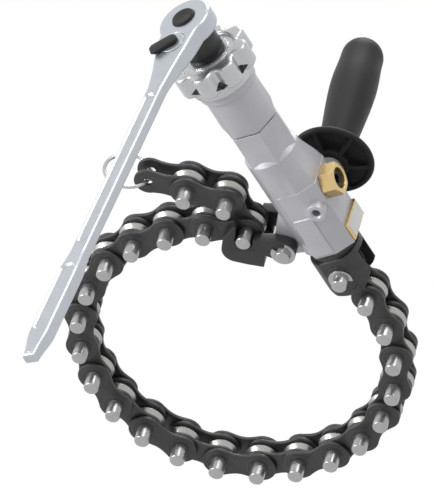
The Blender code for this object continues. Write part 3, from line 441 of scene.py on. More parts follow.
WHEEL_STEEL = finish("wheel_steel", (0.46, 0.45, 0.43), 0.8, 0.32, 900, 150, vary=0.1, depth=0.01,
                     stretch=(1, 1, 4), rim_highlight_and_wear_colour=(0.88, 0.87, 0.84), edge_radius=0.3 * MM)
WIRE = finish("zinc_wire", (0.5, 0.51, 0.52), 0.85, 0.25, 1200, 150, depth=0.006)
CHROME = finish("satin_chrome", (0.5, 0.53, 0.57), 0.8, 0.32, 1600, 70, vary=0.04, rough_vary=0.05,
                depth=0.008, stretch=(1, 1, 0.15), rim_highlight_and_wear_colour=(0.93, 0.94, 0.96), edge_radius=0.6 * MM)
PLASTIC = finish("black_plastic", (0.018, 0.018, 0.019), 0.0, 0.42, 2600, 120, vary=0.15, specular=0.25)
RUBBER = finish("grip_plastic", (0.022, 0.022, 0.023), 0.0, 0.5, 1500, 90, vary=0.12, depth=0.05,
                specular=0.2)
BRASS = finish("brass", (0.68, 0.5, 0.23), 0.8, 0.26, 900, 110, vary=0.07, rough_vary=0.03, depth=0.008,
               rim_highlight_and_wear_colour=(0.95, 0.85, 0.62), edge_radius=0.4 * MM)
ENAMEL = finish("pale_enamel", (0.82, 0.82, 0.8), 0.0, 0.35, 900, 80, vary=0.03, depth=0.005, coat=0.3)


# Shapes

def settle(mesh):
    """Weld a mesh, face it outward and shade it smooth between its sharp edges."""
    shape = bmesh.new()
    shape.from_mesh(mesh)
    bmesh.ops.remove_doubles(shape, verts=shape.verts, dist=WELD)
    bmesh.ops.recalc_face_normals(shape, faces=shape.faces)
    shape.to_mesh(mesh)
    shape.free()
    mesh.shade_smooth()
    mesh.set_sharp_from_angle(angle=SHARP)
    return mesh


def walls(count, levels, closed=False):
    """Faces from each ring of points to the next."""
    faces = []
    for step in range(levels if closed else levels - 1):
        here = step * count
        there = (step + 1) % levels * count
        for number in range(count):
            after = (number + 1) % count
            faces.append((here + number, here + after, there + after, there + number))
    return faces


def meshed(rings, faces, place=None):
    """Settled mesh on rings of points."""
    mesh = bpy.data.meshes.new("shape")
    mesh.from_pydata([point for ring in rings for point in ring], [], faces)
    if place:
        mesh.transform(place)
    return settle(mesh)


def skin(rings, closed=False, place=None):
    """Mesh through rings of points, capped at both ends or closed round on itself."""
    count = len(rings[0])
    faces = walls(count, len(rings), closed)
    if not closed:
        faces.append(tuple(range(count)))
        faces.append(tuple((len(rings) - 1) * count + number for number in range(count)))
    return meshed(rings, faces, place)


def circle(radius, height, steps):
    return [(radius * cos(2 * pi * number / steps), radius * sin(2 * pi * number / steps),
             height) for number in range(steps)]


def lathe(profile, steps=ROUND_STEPS, closed=False, place=None):
    """Solid of revolution about Z through (radius, height) points."""
    return skin([circle(radius, height, steps) for radius, height in profile], closed, place)


def quarter(steps):
    """Angles from flat to upright."""
    return [90 * DEGREE * number / steps for number in range(steps + 1)]


def rounding(edge, steps=EDGE_STEPS):
    """Steps (depth, rise) over a rounded rim, from the end face to the side."""
    return [(edge * (1 - sin(angle)), edge * (1 - cos(angle))) for angle in quarter(steps)]


def drum(radius, floor, top, edge=0.0, steps=ROUND_STEPS, place=None):
    """Round bar between two heights with rounded rims."""
    if not edge:
        return lathe([(radius, floor), (radius, top)], steps, place=place)
    rims = rounding(edge)
    return lathe([(radius - depth, floor + rise) for depth, rise in rims]
                 + [(radius - depth, top - rise) for depth, rise in reversed(rims)], steps, place=place)


def arc(centre, radius, start, end, points):
    step = (end - start) / (points - 1)
    return [(centre[0] + radius * cos(start + step * number),
             centre[1] + radius * sin(start + step * number)) for number in range(points)]


def inset(outline, distance):
    """Outline moved inward, the way its points run counter-clockwise."""
    moved = []
    count = len(outline)
    for number in range(count):
        before = Vector(outline[number - 1])
        here = Vector(outline[number])
        after = Vector(outline[(number + 1) % count])
        first = (here - before).normalized()
        second = (after - here).normalized()
        normal = Vector((-first.y - second.y, first.x + second.x))
        if normal.length < INSET_SHORTEST_SUM:
            normal = Vector((-first.y, first.x))
        normal.normalize()
        share = max(normal.dot(Vector((-first.y, first.x))), INSET_LEAST_SHARE)
        moved.append(here + normal * distance / share)
    return moved


def slab(outline, floor, top, edge=0.0, place=None):
    """Plate with an outline in XY between two heights, its rims rounded."""
    area = sum(a[0] * b[1] - b[0] * a[1] for a, b in zip(outline, outline[1:] + outline[:1]))
    if area < 0:
        outline = outline[::-1]
    if not edge:
        return skin([[(x, y, height) for x, y in outline] for height in (floor, top)], place=place)
    rims = rounding(edge)
    rings = [[(x, y, floor + rise) for x, y in inset(outline, depth)] for depth, rise in rims]
    rings += [[(x, y, top - rise) for x, y in inset(outline, depth)] for depth, rise in reversed(rims)]
    return skin(rings, place=place)


def rounded_box(low, high, radius):
    """Rectangle outline with rounded corners between two corners."""
    outline = []
    for x, y, start in ((high[0] - radius, high[1] - radius, 0), (low[0] + radius, high[1] - radius, 90),
                        (low[0] + radius, low[1] + radius, 180), (high[0] - radius, low[1] + radius, 270)):
        outline += arc((x, y), radius, start * DEGREE, (start + 90) * DEGREE, CORNER_POINTS)
    return outline


def rectangle(low, high):
    return [low, (high[0], low[1]), high, (low[0], high[1])]


def hexagon(corner, first=90):
    """Corners of a hexagon, the first at an angle in degrees."""
    return arc((0, 0), corner, first * DEGREE, (first + 300) * DEGREE, 6)


def eased(start, end, share):
    """Value that leaves one level and reaches another smoothly."""
    share = min(max(share, 0), 1)
    return start + (end - start) * share * share * (3 - 2 * share)


def level(x, steps):
    """Value at a place between (place, value) steps, eased from each to the next."""
    for (start, low), (end, high) in zip(steps, steps[1:]):
        if x <= end:
            return eased(low, high, (x - start) / (end - start))
    return steps[-1][1]


def new_object(name, data):
    obj = bpy.data.objects.new(name, data)
    bpy.context.scene.collection.objects.link(obj)
    return obj


def carve(base, joined=(), cut=(), within=()):
    """One solid from a mesh trimmed to others, then joined to some and cut by some."""
    worker = new_object("worker", base)
    operands = []
    for operation, meshes in (("INTERSECT", within), ("UNION", joined), ("DIFFERENCE", cut)):
        for mesh in meshes:
            operand = new_object("operand", mesh)
            modifier = worker.modifiers.new(operation.title(), "BOOLEAN")
            modifier.operation = operation
            modifier.solver = "EXACT"
            modifier.object = operand
            operands.append(operand)
    bpy.context.view_layer.update()
    solid = bpy.data.meshes.new_from_object(worker.evaluated_get(bpy.context.evaluated_depsgraph_get()))
    for obj in [worker] + operands:
        bpy.data.objects.remove(obj)
    return settle(solid)


def piece(name, mesh, material, body, slot, *nodes, place=None):
    """Show a mesh as a piece that rides on a body and stands for CAD nodes."""
    if place:
        mesh = mesh.copy()
        mesh.transform(place)
    mesh.materials.append(material)
    obj = new_object(name, mesh)
    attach(obj, body)
    if nodes:
        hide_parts(*nodes)
    return obj


# Chain

def link_outline(length, end_radius):
    """Waisted outline of a link plate, with hollow sides between its round ends."""
    ends = pi - PLATE_END_ANGLE
    near = arc((0, 0), PLATE_END_RADIUS, pi - ends, pi + ends, PLATE_END_POINTS)
    far = arc((length, 0), end_radius, -ends, ends, PLATE_END_POINTS)
    return near + waist(near[-1], far[0], -1) + far + waist(far[-1], near[0], 1)


def waist(start, end, side):
    """Points of the hollow side between two ends, without those ends."""
    points = []
    for number in range(1, PLATE_WAIST_POINTS):
        share = number / PLATE_WAIST_POINTS
        height = start[1] + (end[1] - start[1]) * share
        hollow = sin(pi * share) * (abs(start[1] + end[1]) / 2 - PLATE_WAIST / 2)
        points.append((start[0] + (end[0] - start[0]) * share, height - side * hollow))
    return points


def bead(x, face, side):
    """Soft ring pressed up in a plate's outer face round a pin."""
    half = BEAD_WIDTH / 2
    profile = [(BEAD_RADIUS - half, face - side * half)]
    for number in range(BEAD_STEPS + 1):
        angle = pi * (1 - number / BEAD_STEPS)
        profile.append((BEAD_RADIUS + half * cos(angle), face + side * BEAD_RISE * sin(angle)))
    profile.append((BEAD_RADIUS + half, face - side * half))
    return lathe(profile, closed=True, place=at(x, 0, 0))


def plates(outline, floor, top, eyes):
    """Two like plates with beads round their eyes, as one mesh."""
    joined = [slab(outline, -top, -floor, PLATE_EDGE)]
    for x in eyes:
        joined += [bead(x, top, 1), bead(x, -top, -1)]
    return slab(outline, floor, top, PLATE_EDGE), joined


def bush(x):
    return drum(BUSH_RADIUS, PLATE_THICKNESS / 2 - INNER_TOP, INNER_TOP - PLATE_THICKNESS / 2,
                steps=PIN_STEPS, place=at(x, 0, 0))


def hole(x, radius, half=INNER_TOP + OVERRUN):
    return drum(radius, -half, half, steps=PIN_STEPS, place=at(x, 0, 0))


def pin(radius, foot, top, place=None):
    """Pin with chamfered, slightly crowned ends."""
    inner = radius - PIN_CHAMFER
    end = [(inner / 2, -PIN_CROWN / 4), (inner, 0), (radius - PIN_CHAMFER / 4, PIN_CHAMFER / 2),
           (radius, PIN_CHAMFER)]
    return lathe([(x, foot + rise) for x, rise in end] + [(x, top - rise) for x, rise in reversed(end)],
                 PIN_STEPS, place=place)


def build_chain():
    outline = link_outline(CHAIN_PITCH, PLATE_END_RADIUS)
    both = (0, CHAIN_PITCH)
    base, joined = plates(outline, INNER_FLOOR, INNER_TOP, ())
    inner = carve(base, joined + [bush(x) for x in both], [hole(x, BUSH_BORE) for x in both])
    base, joined = plates(outline, OUTER_FLOOR, OUTER_TOP, both)
    outer = carve(base, joined, [hole(x, PIN_RADIUS, PIN_TOP) for x in both])
    base, joined = plates(link_outline(END_LINK_REACH, END_LINK_TIP_RADIUS), INNER_FLOOR, INNER_TOP, ())
    end = carve(base, joined + [bush(0)], [hole(0, BUSH_BORE), hole(END_LINK_REACH, END_LINK_HOLE_RADIUS)])
    second_pin = pin(PIN_RADIUS, PIN_FOOT, PIN_TOP, at(CHAIN_PITCH, 0, 0))
    studs = carve(pin(PIN_RADIUS, PIN_FOOT, PIN_TOP), [second_pin])
    half = WHEEL_WIDTH / 2
    upper = [(WHEEL_BORE, half - CLEARANCE), (WHEEL_BORE + CLEARANCE, half), (WHEEL_HUB - CLEARANCE, half),
             (WHEEL_HUB, half - CLEARANCE), (WHEEL_HUB + CLEARANCE, half - WHEEL_SHOULDER),
             (WHEEL_RADIUS - CLEARANCE, CLEARANCE / 2)]
    lower = [(radius, -height) for radius, height in reversed(upper)]
    roller = lathe(upper + [(WHEEL_RADIUS, 0)] + lower, closed=True)
    for number in range(LINKS):
        place = link_place(number)
        tag = f"{number:02d}"
        body = f"link_{tag}"
        if number == LINKS - 1:
            piece("tail_plates", end, BLACK_STEEL, "tail_link", "black_steel", "end_link", place=place)
        elif number % 2:
            piece(f"outer_plates_{tag}", outer, BLACK_STEEL, body, "black_steel", f"outer_link_{tag}",
                  place=place)
            piece(f"pins_{tag}", studs, PIN_STEEL, body, "wheel_steel", place=place)
        else:
            piece(f"inner_plates_{tag}", inner, BLACK_STEEL, body, "black_steel", f"inner_link_{tag}",
                  place=place)
        if number:
            piece(f"wheel_{tag}", roller, WHEEL_STEEL, f"wheel_{tag}", "wheel_steel",
                  f"cutter_wheel_{tag}", place=at(PINS[number]))


def build_ring():
    """Wire ring through the end link's holes, in the plane of the pins."""
    low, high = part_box("pull_ring")
    middle = (low + high) / 2
    heading = (PINS[LINKS] - PINS[LINKS - 1]).normalized()
    rings = []
    for number in range(RING_POINTS):
        angle = 2 * pi * number / RING_POINTS
        out = heading * cos(angle) + Vector((0, 0, sin(angle)))
        side = out.cross(heading.cross(Vector((0, 0, 1)))).cross(out)
        side.normalize()
        ring = []
        for spot in range(RING_WIRE_POINTS):
            around = 2 * pi * spot / RING_WIRE_POINTS
            ring.append(middle + out * (RING_RADIUS + RING_WIRE_RADIUS * cos(around))
                        + side * RING_WIRE_RADIUS * sin(around))
        rings.append(ring)
    piece("wire_ring", skin(rings, closed=True), WIRE, "ring", "bright_steel", "pull_ring")


# Yoke and hook

def clip(height):
    """Open retaining clip round a pin, about a height."""
    start = CLIP_TURN + CLIP_GAP / 2
    end = CLIP_TURN - CLIP_GAP / 2 + 2 * pi
    outline = arc((0, 0), PIN_RADIUS + CLIP_WALL, start, end, CLIP_POINTS)
    outline += arc((0, 0), PIN_RADIUS - CLEARANCE, end, start, CLIP_POINTS)
    return slab(outline, height - CLIP_THICKNESS / 2, height + CLIP_THICKNESS / 2, CLIP_EDGE)


def pinned(name, body, half, standout, place):
    """Pin across a fork or hook with a clip against each cheek."""
    piece(f"{name}_pin", pin(PIN_RADIUS, -half - standout, half + standout), PIN_STEEL, body, "bright_steel",
          place=place)
    for label, side in (("near", -1), ("far", 1)):
        ring = clip(side * (half + CLIP_THICKNESS / 2))
        piece(f"{name}_clip_{label}", ring, PIN_STEEL, body, "bright_steel", place=place)


def build_yoke():
    """Round barrel slotted for the chain, flattened at the pin, with the plunger behind it."""
    fork_top = YOKE_FORK_HEIGHT / 2
    nose = arc((0, 0), 1, -90 * DEGREE, 90 * DEGREE, YOKE_NOSE_POINTS)
    outline = [(YOKE_FORK_REACH * x, YOKE_BARREL_RADIUS * y) for x, y in nose]
    outline += [(-BARREL_END, YOKE_BARREL_RADIUS), (-BARREL_END, -YOKE_BARREL_RADIUS)]
    barrel = drum(YOKE_BARREL_RADIUS, -YOKE_BARREL_RADIUS, BARREL_END, YOKE_EDGE, place=STEM)
    slot = FORK_ROOT + CLEARANCE / 2
    wide = YOKE_BARREL_RADIUS + OVERRUN
    gap = slab(rectangle((-slot, -wide), (wide, wide)), -OUTER_FLOOR, OUTER_FLOOR)
    screw_hole = drum(SCREW_RADIUS + CLEARANCE, PLUNGER_REAR - SCREW_ENTRY - FEED_TRAVEL - CLEARANCE,
                      PLUNGER_REAR + OVERRUN, place=STEM)
    grooves = []
    outside = YOKE_GROOVE_RADIUS + YOKE_GROOVE
    for side in (-1, 1):
        low, high = sorted((side * (fork_top - YOKE_GROOVE), side * (fork_top + YOKE_GROOVE)))
        grooves.append(lathe(rectangle((YOKE_GROOVE_RADIUS, low), (outside, high)), closed=True))
    mesh = carve(slab(outline, -fork_top, fork_top, YOKE_EDGE),
                 [drum(PLUNGER_RADIUS, 0, PLUNGER_REAR - FORK_ROOT, YOKE_EDGE, place=along_body(FORK_ROOT))],
                 [gap, hole(0, PIN_RADIUS, fork_top + OVERRUN), screw_hole] + grooves, [barrel])
    place = at(YOKE_PIN)
    piece("yoke_fork", mesh, BLACK_STEEL, "yoke", "black_steel", "chain_yoke", place=place)
    pinned("yoke", "yoke", fork_top, YOKE_PIN_STANDOUT, place)


def build_hook():
    place = at(CATCH_PIN) @ turn(HOOK_MOUTH_TURN, "Z")
    eye = place.inverted() @ HOOK_PIN
    slot = PIN_RADIUS + HOOK_MOUTH_PLAY
    outside = -slot - HOOK_EYE_RADIUS
    shoulder = eye.y - HOOK_SHOULDER
    rear = HOOK_ROUNDING - HOOK_BACK_DEPTH
    heel = (HOOK_BACK_ROUND - HOOK_BACK_DEPTH, HOOK_BACK_ROUND + outside)
    outline = arc((0, 0), slot, 90 * DEGREE, 270 * DEGREE, HOOK_MOUTH_POINTS)
    outline += [(HOOK_LIP, -slot - HOOK_MOUTH_PLAY), (HOOK_LIP, -slot - HOOK_LIP_TIP), (0, outside)]
    outline += arc(heel, HOOK_BACK_ROUND, -90 * DEGREE, -180 * DEGREE, HOOK_HEEL_POINTS)
    outline += [(-HOOK_BACK_DEPTH, PIN_RADIUS), (rear, shoulder), (-HOOK_EYE_RADIUS, shoulder)]
    outline += arc(eye, HOOK_EYE_RADIUS, 180 * DEGREE, 0, HOOK_EYE_POINTS)
    outline += [(eye.x + HOOK_EYE_RADIUS, eye.y - HOOK_EYE_RADIUS), (slot / 2, slot)]
    middle = (CHEEK_FLOOR + CHEEK_TOP) / 2
    bridge = slab(rectangle((rear, HOOK_ROUNDING), (rear + HOOK_BRIDGE, shoulder)), -middle, middle)
    eye_hole = drum(PIN_RADIUS, -CHEEK_TOP - OVERRUN, CHEEK_TOP + OVERRUN, steps=PIN_STEPS,
                    place=at(eye))
    mesh = carve(slab(outline, CHEEK_FLOOR, CHEEK_TOP, HOOK_EDGE),
                 [slab(outline, -CHEEK_TOP, -CHEEK_FLOOR, HOOK_EDGE), bridge], [eye_hole])
    piece("hook_cheeks", mesh, HOOK_STEEL, "hook", "black_steel", "chain_hook", place=place)
    pinned("hook", "hook", CHEEK_TOP, HOOK_PIN_STANDOUT, place @ at(eye))


# Feed body

def hexagonal(half_flats, height):
    """Ring with six sides and corners trimmed to the collar's round."""
    ring = []
    for x, y, _ in circle(1, 0, ROUND_STEPS):
        off_flat = (atan2(y, x) + HEX_SECTOR / 2) % HEX_SECTOR - HEX_SECTOR / 2
        radius = min(half_flats / cos(off_flat), BODY_COLLAR_RADIUS)
        ring.append((radius * x, radius * y, height))
    return ring


def reach(outline, x, y):
    """Distance from the origin to an outline along a direction."""
    for start, end in zip(outline, outline[1:] + outline[:1]):
        across = (end[0] - start[0]) * y - (end[1] - start[1]) * x
        if abs(across) > 0:
            share = (start[1] * x - start[0] * y) / across
            met_x = start[0] + (end[0] - start[0]) * share
            met_y = start[1] + (end[1] - start[1]) * share
            distance = met_x * x + met_y * y
            if 0 <= share <= 1 and distance > 0:
                return distance
    return BODY_BARREL_RADIUS


def build_body():
    corners = rounded_box((-BLOCK_TOP, -BODY_BLOCK_OUTER), (BLOCK_TOP, BODY_BLOCK_INNER), BODY_BLOCK_CORNER)
    quarter_points = len(corners) // 4
    outline = corners[:quarter_points] + [
        (-BODY_NEAR_FACET_TOP, BODY_BLOCK_INNER), (-BLOCK_TOP, BODY_NEAR_FACE_END),
        (-BLOCK_TOP, BODY_FACET_WIDTH - BODY_BLOCK_OUTER), (BODY_FACET_HEIGHT - BLOCK_TOP, -BODY_BLOCK_OUTER),
    ] + corners[3 * quarter_points:]
    block = slab(outline, 0, BODY_BLOCK_LENGTH, BODY_EDGE, along_body(BODY_FRONT))
    rings = []
    for number in range(BODY_BLEND_STEPS + 1):
        share = number / BODY_BLEND_STEPS
        height = BLOCK_REAR - OVERRUN + (BARREL_REAR - BLOCK_REAR) * share
        ring = []
        for x, y, _ in circle(1, height, 2 * ROUND_STEPS):
            radius = eased(reach(outline, x, y) - CLEARANCE, BODY_BARREL_RADIUS, share)
            ring.append((radius * x, radius * y, height))
        rings.append(ring)
    blend = skin(rings, place=STEM)
    collar_at = HEX_REAR - BODY_CONE
    sides = hexagon(BODY_HEX_FLATS / sqrt(3))
    pad_outline = rounded_box((-BODY_FRONT - BODY_PAD_LENGTH, -BODY_PAD_WIDTH / 2),
                              (-BODY_FRONT - OVERRUN, BODY_NEAR_FACE_END), OVERRUN)
    near_boss = BLOCK_TOP + BODY_PAD_RISE
    boss_radius = BODY_BLOCK_OUTER - HANDLE_OUT
    over_handle = at(HANDLE_AT)
    eye = HOOK_PIN - YOKE_PIN
    root = BODY_BLOCK_INNER - BODY_BLOCK_CORNER
    lug_top = CHEEK_FLOOR - CLEARANCE
    lug = arc(eye, LUG_RADIUS, 0, LUG_TURN, LUG_POINTS)
    lug += [(-BODY_FRONT - BODY_PAD_LENGTH - LUG_RADIUS, root), (-BODY_FRONT - CLEARANCE, root)]
    joined = [
        blend,
        lathe([(BODY_BARREL_RADIUS - CLEARANCE, BODY_FRONT + OVERRUN), (BODY_BARREL_RADIUS, BARREL_REAR),
               (BODY_HEX_FLATS / 2 - CLEARANCE, BARREL_REAR + BODY_CONE)], place=STEM),
        slab(sides, BARREL_REAR - OVERRUN, collar_at - BODY_GROOVE, place=STEM),
        skin([hexagonal(BODY_HEX_FLATS / 2 - BODY_GROOVE, collar_at - BODY_GROOVE - OVERRUN),
              hexagonal(BODY_HEX_FLATS / 2 - BODY_GROOVE, collar_at),
              hexagonal(BODY_HEX_FLATS / 2 + CLEARANCE, collar_at + CLEARANCE),
              circle(BODY_COLLAR_RADIUS, HEX_REAR + BODY_CONE, ROUND_STEPS),
              circle(BODY_COLLAR_RADIUS, COLLAR_REAR + OVERRUN, ROUND_STEPS)], place=STEM),
        drum(BODY_FLANGE_RADIUS, COLLAR_REAR, FLANGE_REAR, BODY_EDGE, place=STEM),
        slab(pad_outline, -BLOCK_TOP - BODY_PAD_RISE, OVERRUN - BLOCK_TOP, BODY_PAD_RISE / 2),
        slab(pad_outline, BLOCK_TOP - OVERRUN, BLOCK_TOP + BODY_PAD_RISE, BODY_PAD_RISE / 2),
        drum(boss_radius, 0, HANDLE_BOSS_TOP, BODY_EDGE, place=over_handle),
        drum(NEAR_BOSS_RADIUS, -near_boss, 0, BODY_EDGE / 2, place=over_handle),
        slab(lug, -lug_top, lug_top, BODY_EDGE),
    ]
    shank_hole = NUT_SHANK + CLEARANCE
    sink = [(NEAR_HOLE_RADIUS + NEAR_HOLE_SINK + CLEARANCE, -near_boss - CLEARANCE),
            (NEAR_HOLE_RADIUS, NEAR_HOLE_SINK - near_boss), (NEAR_HOLE_RADIUS, NEAR_HOLE_DEPTH - near_boss)]
    cut = [
        drum(PLUNGER_RADIUS + CLEARANCE, BODY_FRONT - OVERRUN, PLUNGER_REAR + FEED_TRAVEL + OVERRUN,
             place=STEM),
        drum(SCREW_RADIUS + CLEARANCE, BODY_FRONT - OVERRUN, FLANGE_REAR + OVERRUN, place=STEM),
        drum(HANDLE_STUD_RADIUS + CLEARANCE, HANDLE_BOSS_TOP - HANDLE_STUD, HANDLE_BOSS_TOP + OVERRUN,
             place=over_handle),
        lathe(sink, PIN_STEPS, place=over_handle),
        drum(NUT_SHANK_RADIUS + CLEARANCE, -shank_hole, OVERRUN,
             place=at(NUT_AT) @ turn(90 * DEGREE, "X")),
        drum(PIN_RADIUS + CLEARANCE, -lug_top - OVERRUN, lug_top + OVERRUN, place=at(eye)),
    ]
    cut += [drum(HOOK_EYE_RADIUS + 3 * CLEARANCE, floor, top, place=at(eye))
            for floor, top in ((CHEEK_FLOOR - CLEARANCE, CHEEK_TOP + OVERRUN),
                               (-CHEEK_TOP - OVERRUN, CLEARANCE - CHEEK_FLOOR))]
    place = at(YOKE_PIN)
    piece("body_casting", carve(block, joined, cut), CAST, "feed_body", "cast_aluminium", "cutter_body",
          place=place)
    badge_at = YOKE_PIN + Vector((-BODY_FRONT - BADGE_FRONT, -BODY_BLOCK_OUTER, 0))
    facing = at(badge_at) @ turn(90 * DEGREE, "X")
    rim = BADGE_THICKNESS / 2
    badge = slab(rectangle((-BADGE_LENGTH, BADGE_NEAR), (0, BADGE_FAR)), -rim, BADGE_THICKNESS, rim)
    piece("blank_plate", badge, BRASS, "feed_body", "brass", place=facing)
    inside = rectangle((-BADGE_LENGTH + BADGE_RIM, BADGE_NEAR + BADGE_RIM),
                       (-BADGE_RIM, BADGE_FAR - BADGE_RIM))
    face = slab(inside, rim, BADGE_THICKNESS + CLEARANCE / 2, CLEARANCE / 2)
    piece("plate_face", face, ENAMEL, "feed_body", "cast_aluminium", place=facing)


def build_nut():
    """Brass hexagon with chamfered corners, a deep socket and its shank."""
    facing = at(YOKE_PIN + NUT_AT - Vector((0, CLEARANCE, 0))) @ turn(90 * DEGREE, "X")
    corner = NUT_FLATS / sqrt(3)
    inner = NUT_FLATS / 2 - CLEARANCE
    trim = lathe([(corner + OVERRUN, -NUT_SHANK - OVERRUN), (corner + OVERRUN, NUT_LENGTH - NUT_CHAMFER),
                  (inner, NUT_LENGTH), (inner, NUT_LENGTH + OVERRUN), (2 * corner, NUT_LENGTH + OVERRUN),
                  (2 * corner, -NUT_SHANK - OVERRUN)], closed=True)
    socket = lathe([(NUT_BORE_RADIUS, NUT_FLOOR), (NUT_BORE_RADIUS, NUT_LENGTH - CLEARANCE),
                    (NUT_BORE_RADIUS + 2 * CLEARANCE, NUT_LENGTH + CLEARANCE)])
    shank = drum(NUT_SHANK_RADIUS, -NUT_SHANK, NUT_FLOOR)
    mesh = carve(slab(hexagon(corner), 0, NUT_LENGTH), [shank], [trim, socket])
    piece("brass_plug", mesh, BRASS, "feed_body", "brass", "brass_nut", place=facing)
    screw = carve(drum(NUT_BORE_RADIUS - CLEARANCE, NUT_FLOOR + CLEARANCE, PLUG_SCREW_TOP, CLEARANCE),
                  (), [slab(hexagon(PLUG_SCREW_SOCKET, 0), 2 * NUT_FLOOR, NUT_LENGTH)])
    piece("plug_screw", screw, PLASTIC, "feed_body", "black_steel", place=facing)


# Side handle

def build_handle():
    base = HANDLE_BOSS_TOP + CLEARANCE
    guard_floor = base + HANDLE_COLLAR
    guard_top = guard_floor + HANDLE_GUARD
    tip = guard_top + HANDLE_GRIP_LENGTH
    swell_at = guard_top + HANDLE_GRIP_LENGTH * HANDLE_SWELL_SHARE
    shoulder = tip - HANDLE_TIP_RADIUS
    lip = HANDLE_GUARD / 2
    web_floor = guard_top - HANDLE_WEB
    hollow = HANDLE_GUARD_RADIUS - HANDLE_LIP
    profile = [(HANDLE_STUD_RADIUS, HANDLE_BOSS_TOP - HANDLE_STUD), (HANDLE_STUD_RADIUS, base),
               (HANDLE_COLLAR_RADIUS - CLEARANCE, base), (HANDLE_COLLAR_RADIUS, base + CLEARANCE),
               (HANDLE_COLLAR_RADIUS + CLEARANCE, web_floor), (hollow - CLEARANCE, web_floor),
               (hollow, web_floor - CLEARANCE), (hollow, guard_floor + CLEARANCE)]
    profile += [(HANDLE_GUARD_RADIUS - lip + lip * sin(angle), guard_floor + lip - lip * cos(angle))
                for angle in quarter(HANDLE_RIM_STEPS)]
    profile += [(HANDLE_GUARD_RADIUS - lip + lip * cos(angle), guard_top - lip + lip * sin(angle))
                for angle in quarter(HANDLE_RIM_STEPS)]
    profile.append((HANDLE_GRIP_RADIUS + lip, guard_top))
    profile += [(HANDLE_GRIP_RADIUS + lip * (1 - sin(angle)), guard_top + lip * (1 - cos(angle)))
                for angle in quarter(HANDLE_ROOT_STEPS)]
    guard = lathe(profile + [(HANDLE_GRIP_RADIUS, guard_top + HANDLE_GUARD)])
    half = HANDLE_RIB_WIDTH / 2
    inside = HANDLE_COLLAR_RADIUS - HANDLE_RIB_WIDTH
    outside = HANDLE_GUARD_RADIUS - HANDLE_LIP / 2
    rib = [(inside, base + CLEARANCE), (HANDLE_COLLAR_RADIUS + HANDLE_COLLAR, base + CLEARANCE),
           (outside, guard_floor + CLEARANCE), (outside, web_floor + CLEARANCE),
           (inside, web_floor + CLEARANCE)]
    ribs = [slab(rib, -half, half, CLEARANCE,
                 turn(2 * pi * number / HANDLE_RIBS, "Z") @ turn(90 * DEGREE, "X"))
            for number in range(HANDLE_RIBS)]
    place = at(YOKE_PIN + HANDLE_AT)
    guard = carve(guard, ribs)
    piece("handle_guard", guard, RUBBER, "feed_body", "black_plastic", "side_handle", place=place)
    start = guard_top + lip
    girth = [(start, HANDLE_GRIP_RADIUS), (swell_at, HANDLE_SWELL_RADIUS), (shoulder, HANDLE_TIP_RADIUS)]
    grip = [(HANDLE_GRIP_RADIUS - CLEARANCE, start)]
    for number in range(HANDLE_GRIP_STEPS + 1):
        height = start + (shoulder - start) * number / HANDLE_GRIP_STEPS
        grip.append((level(height, girth), height))
    for number in range(1, HANDLE_DOME_STEPS):
        angle = 90 * DEGREE * number / HANDLE_DOME_STEPS
        grip.append((HANDLE_TIP_RADIUS * cos(angle), shoulder + HANDLE_TIP_RADIUS * sin(angle)))
    piece("handle_grip", lathe(grip), RUBBER, "feed_body", "black_plastic", place=place)


# Feed screw and knob

def knob_outline():
    points = []
    count = KNOB_LOBES * KNOB_LOBE_POINTS
    for number in range(count):
        angle = 2 * pi * number / count
        valley = ((1 - cos(angle * KNOB_LOBES)) / 2) ** KNOB_VALLEY_SHARPNESS
        radius = KNOB_RADIUS - KNOB_LOBE_DEPTH * valley
        points.append((radius * cos(angle), radius * sin(angle)))
    return points


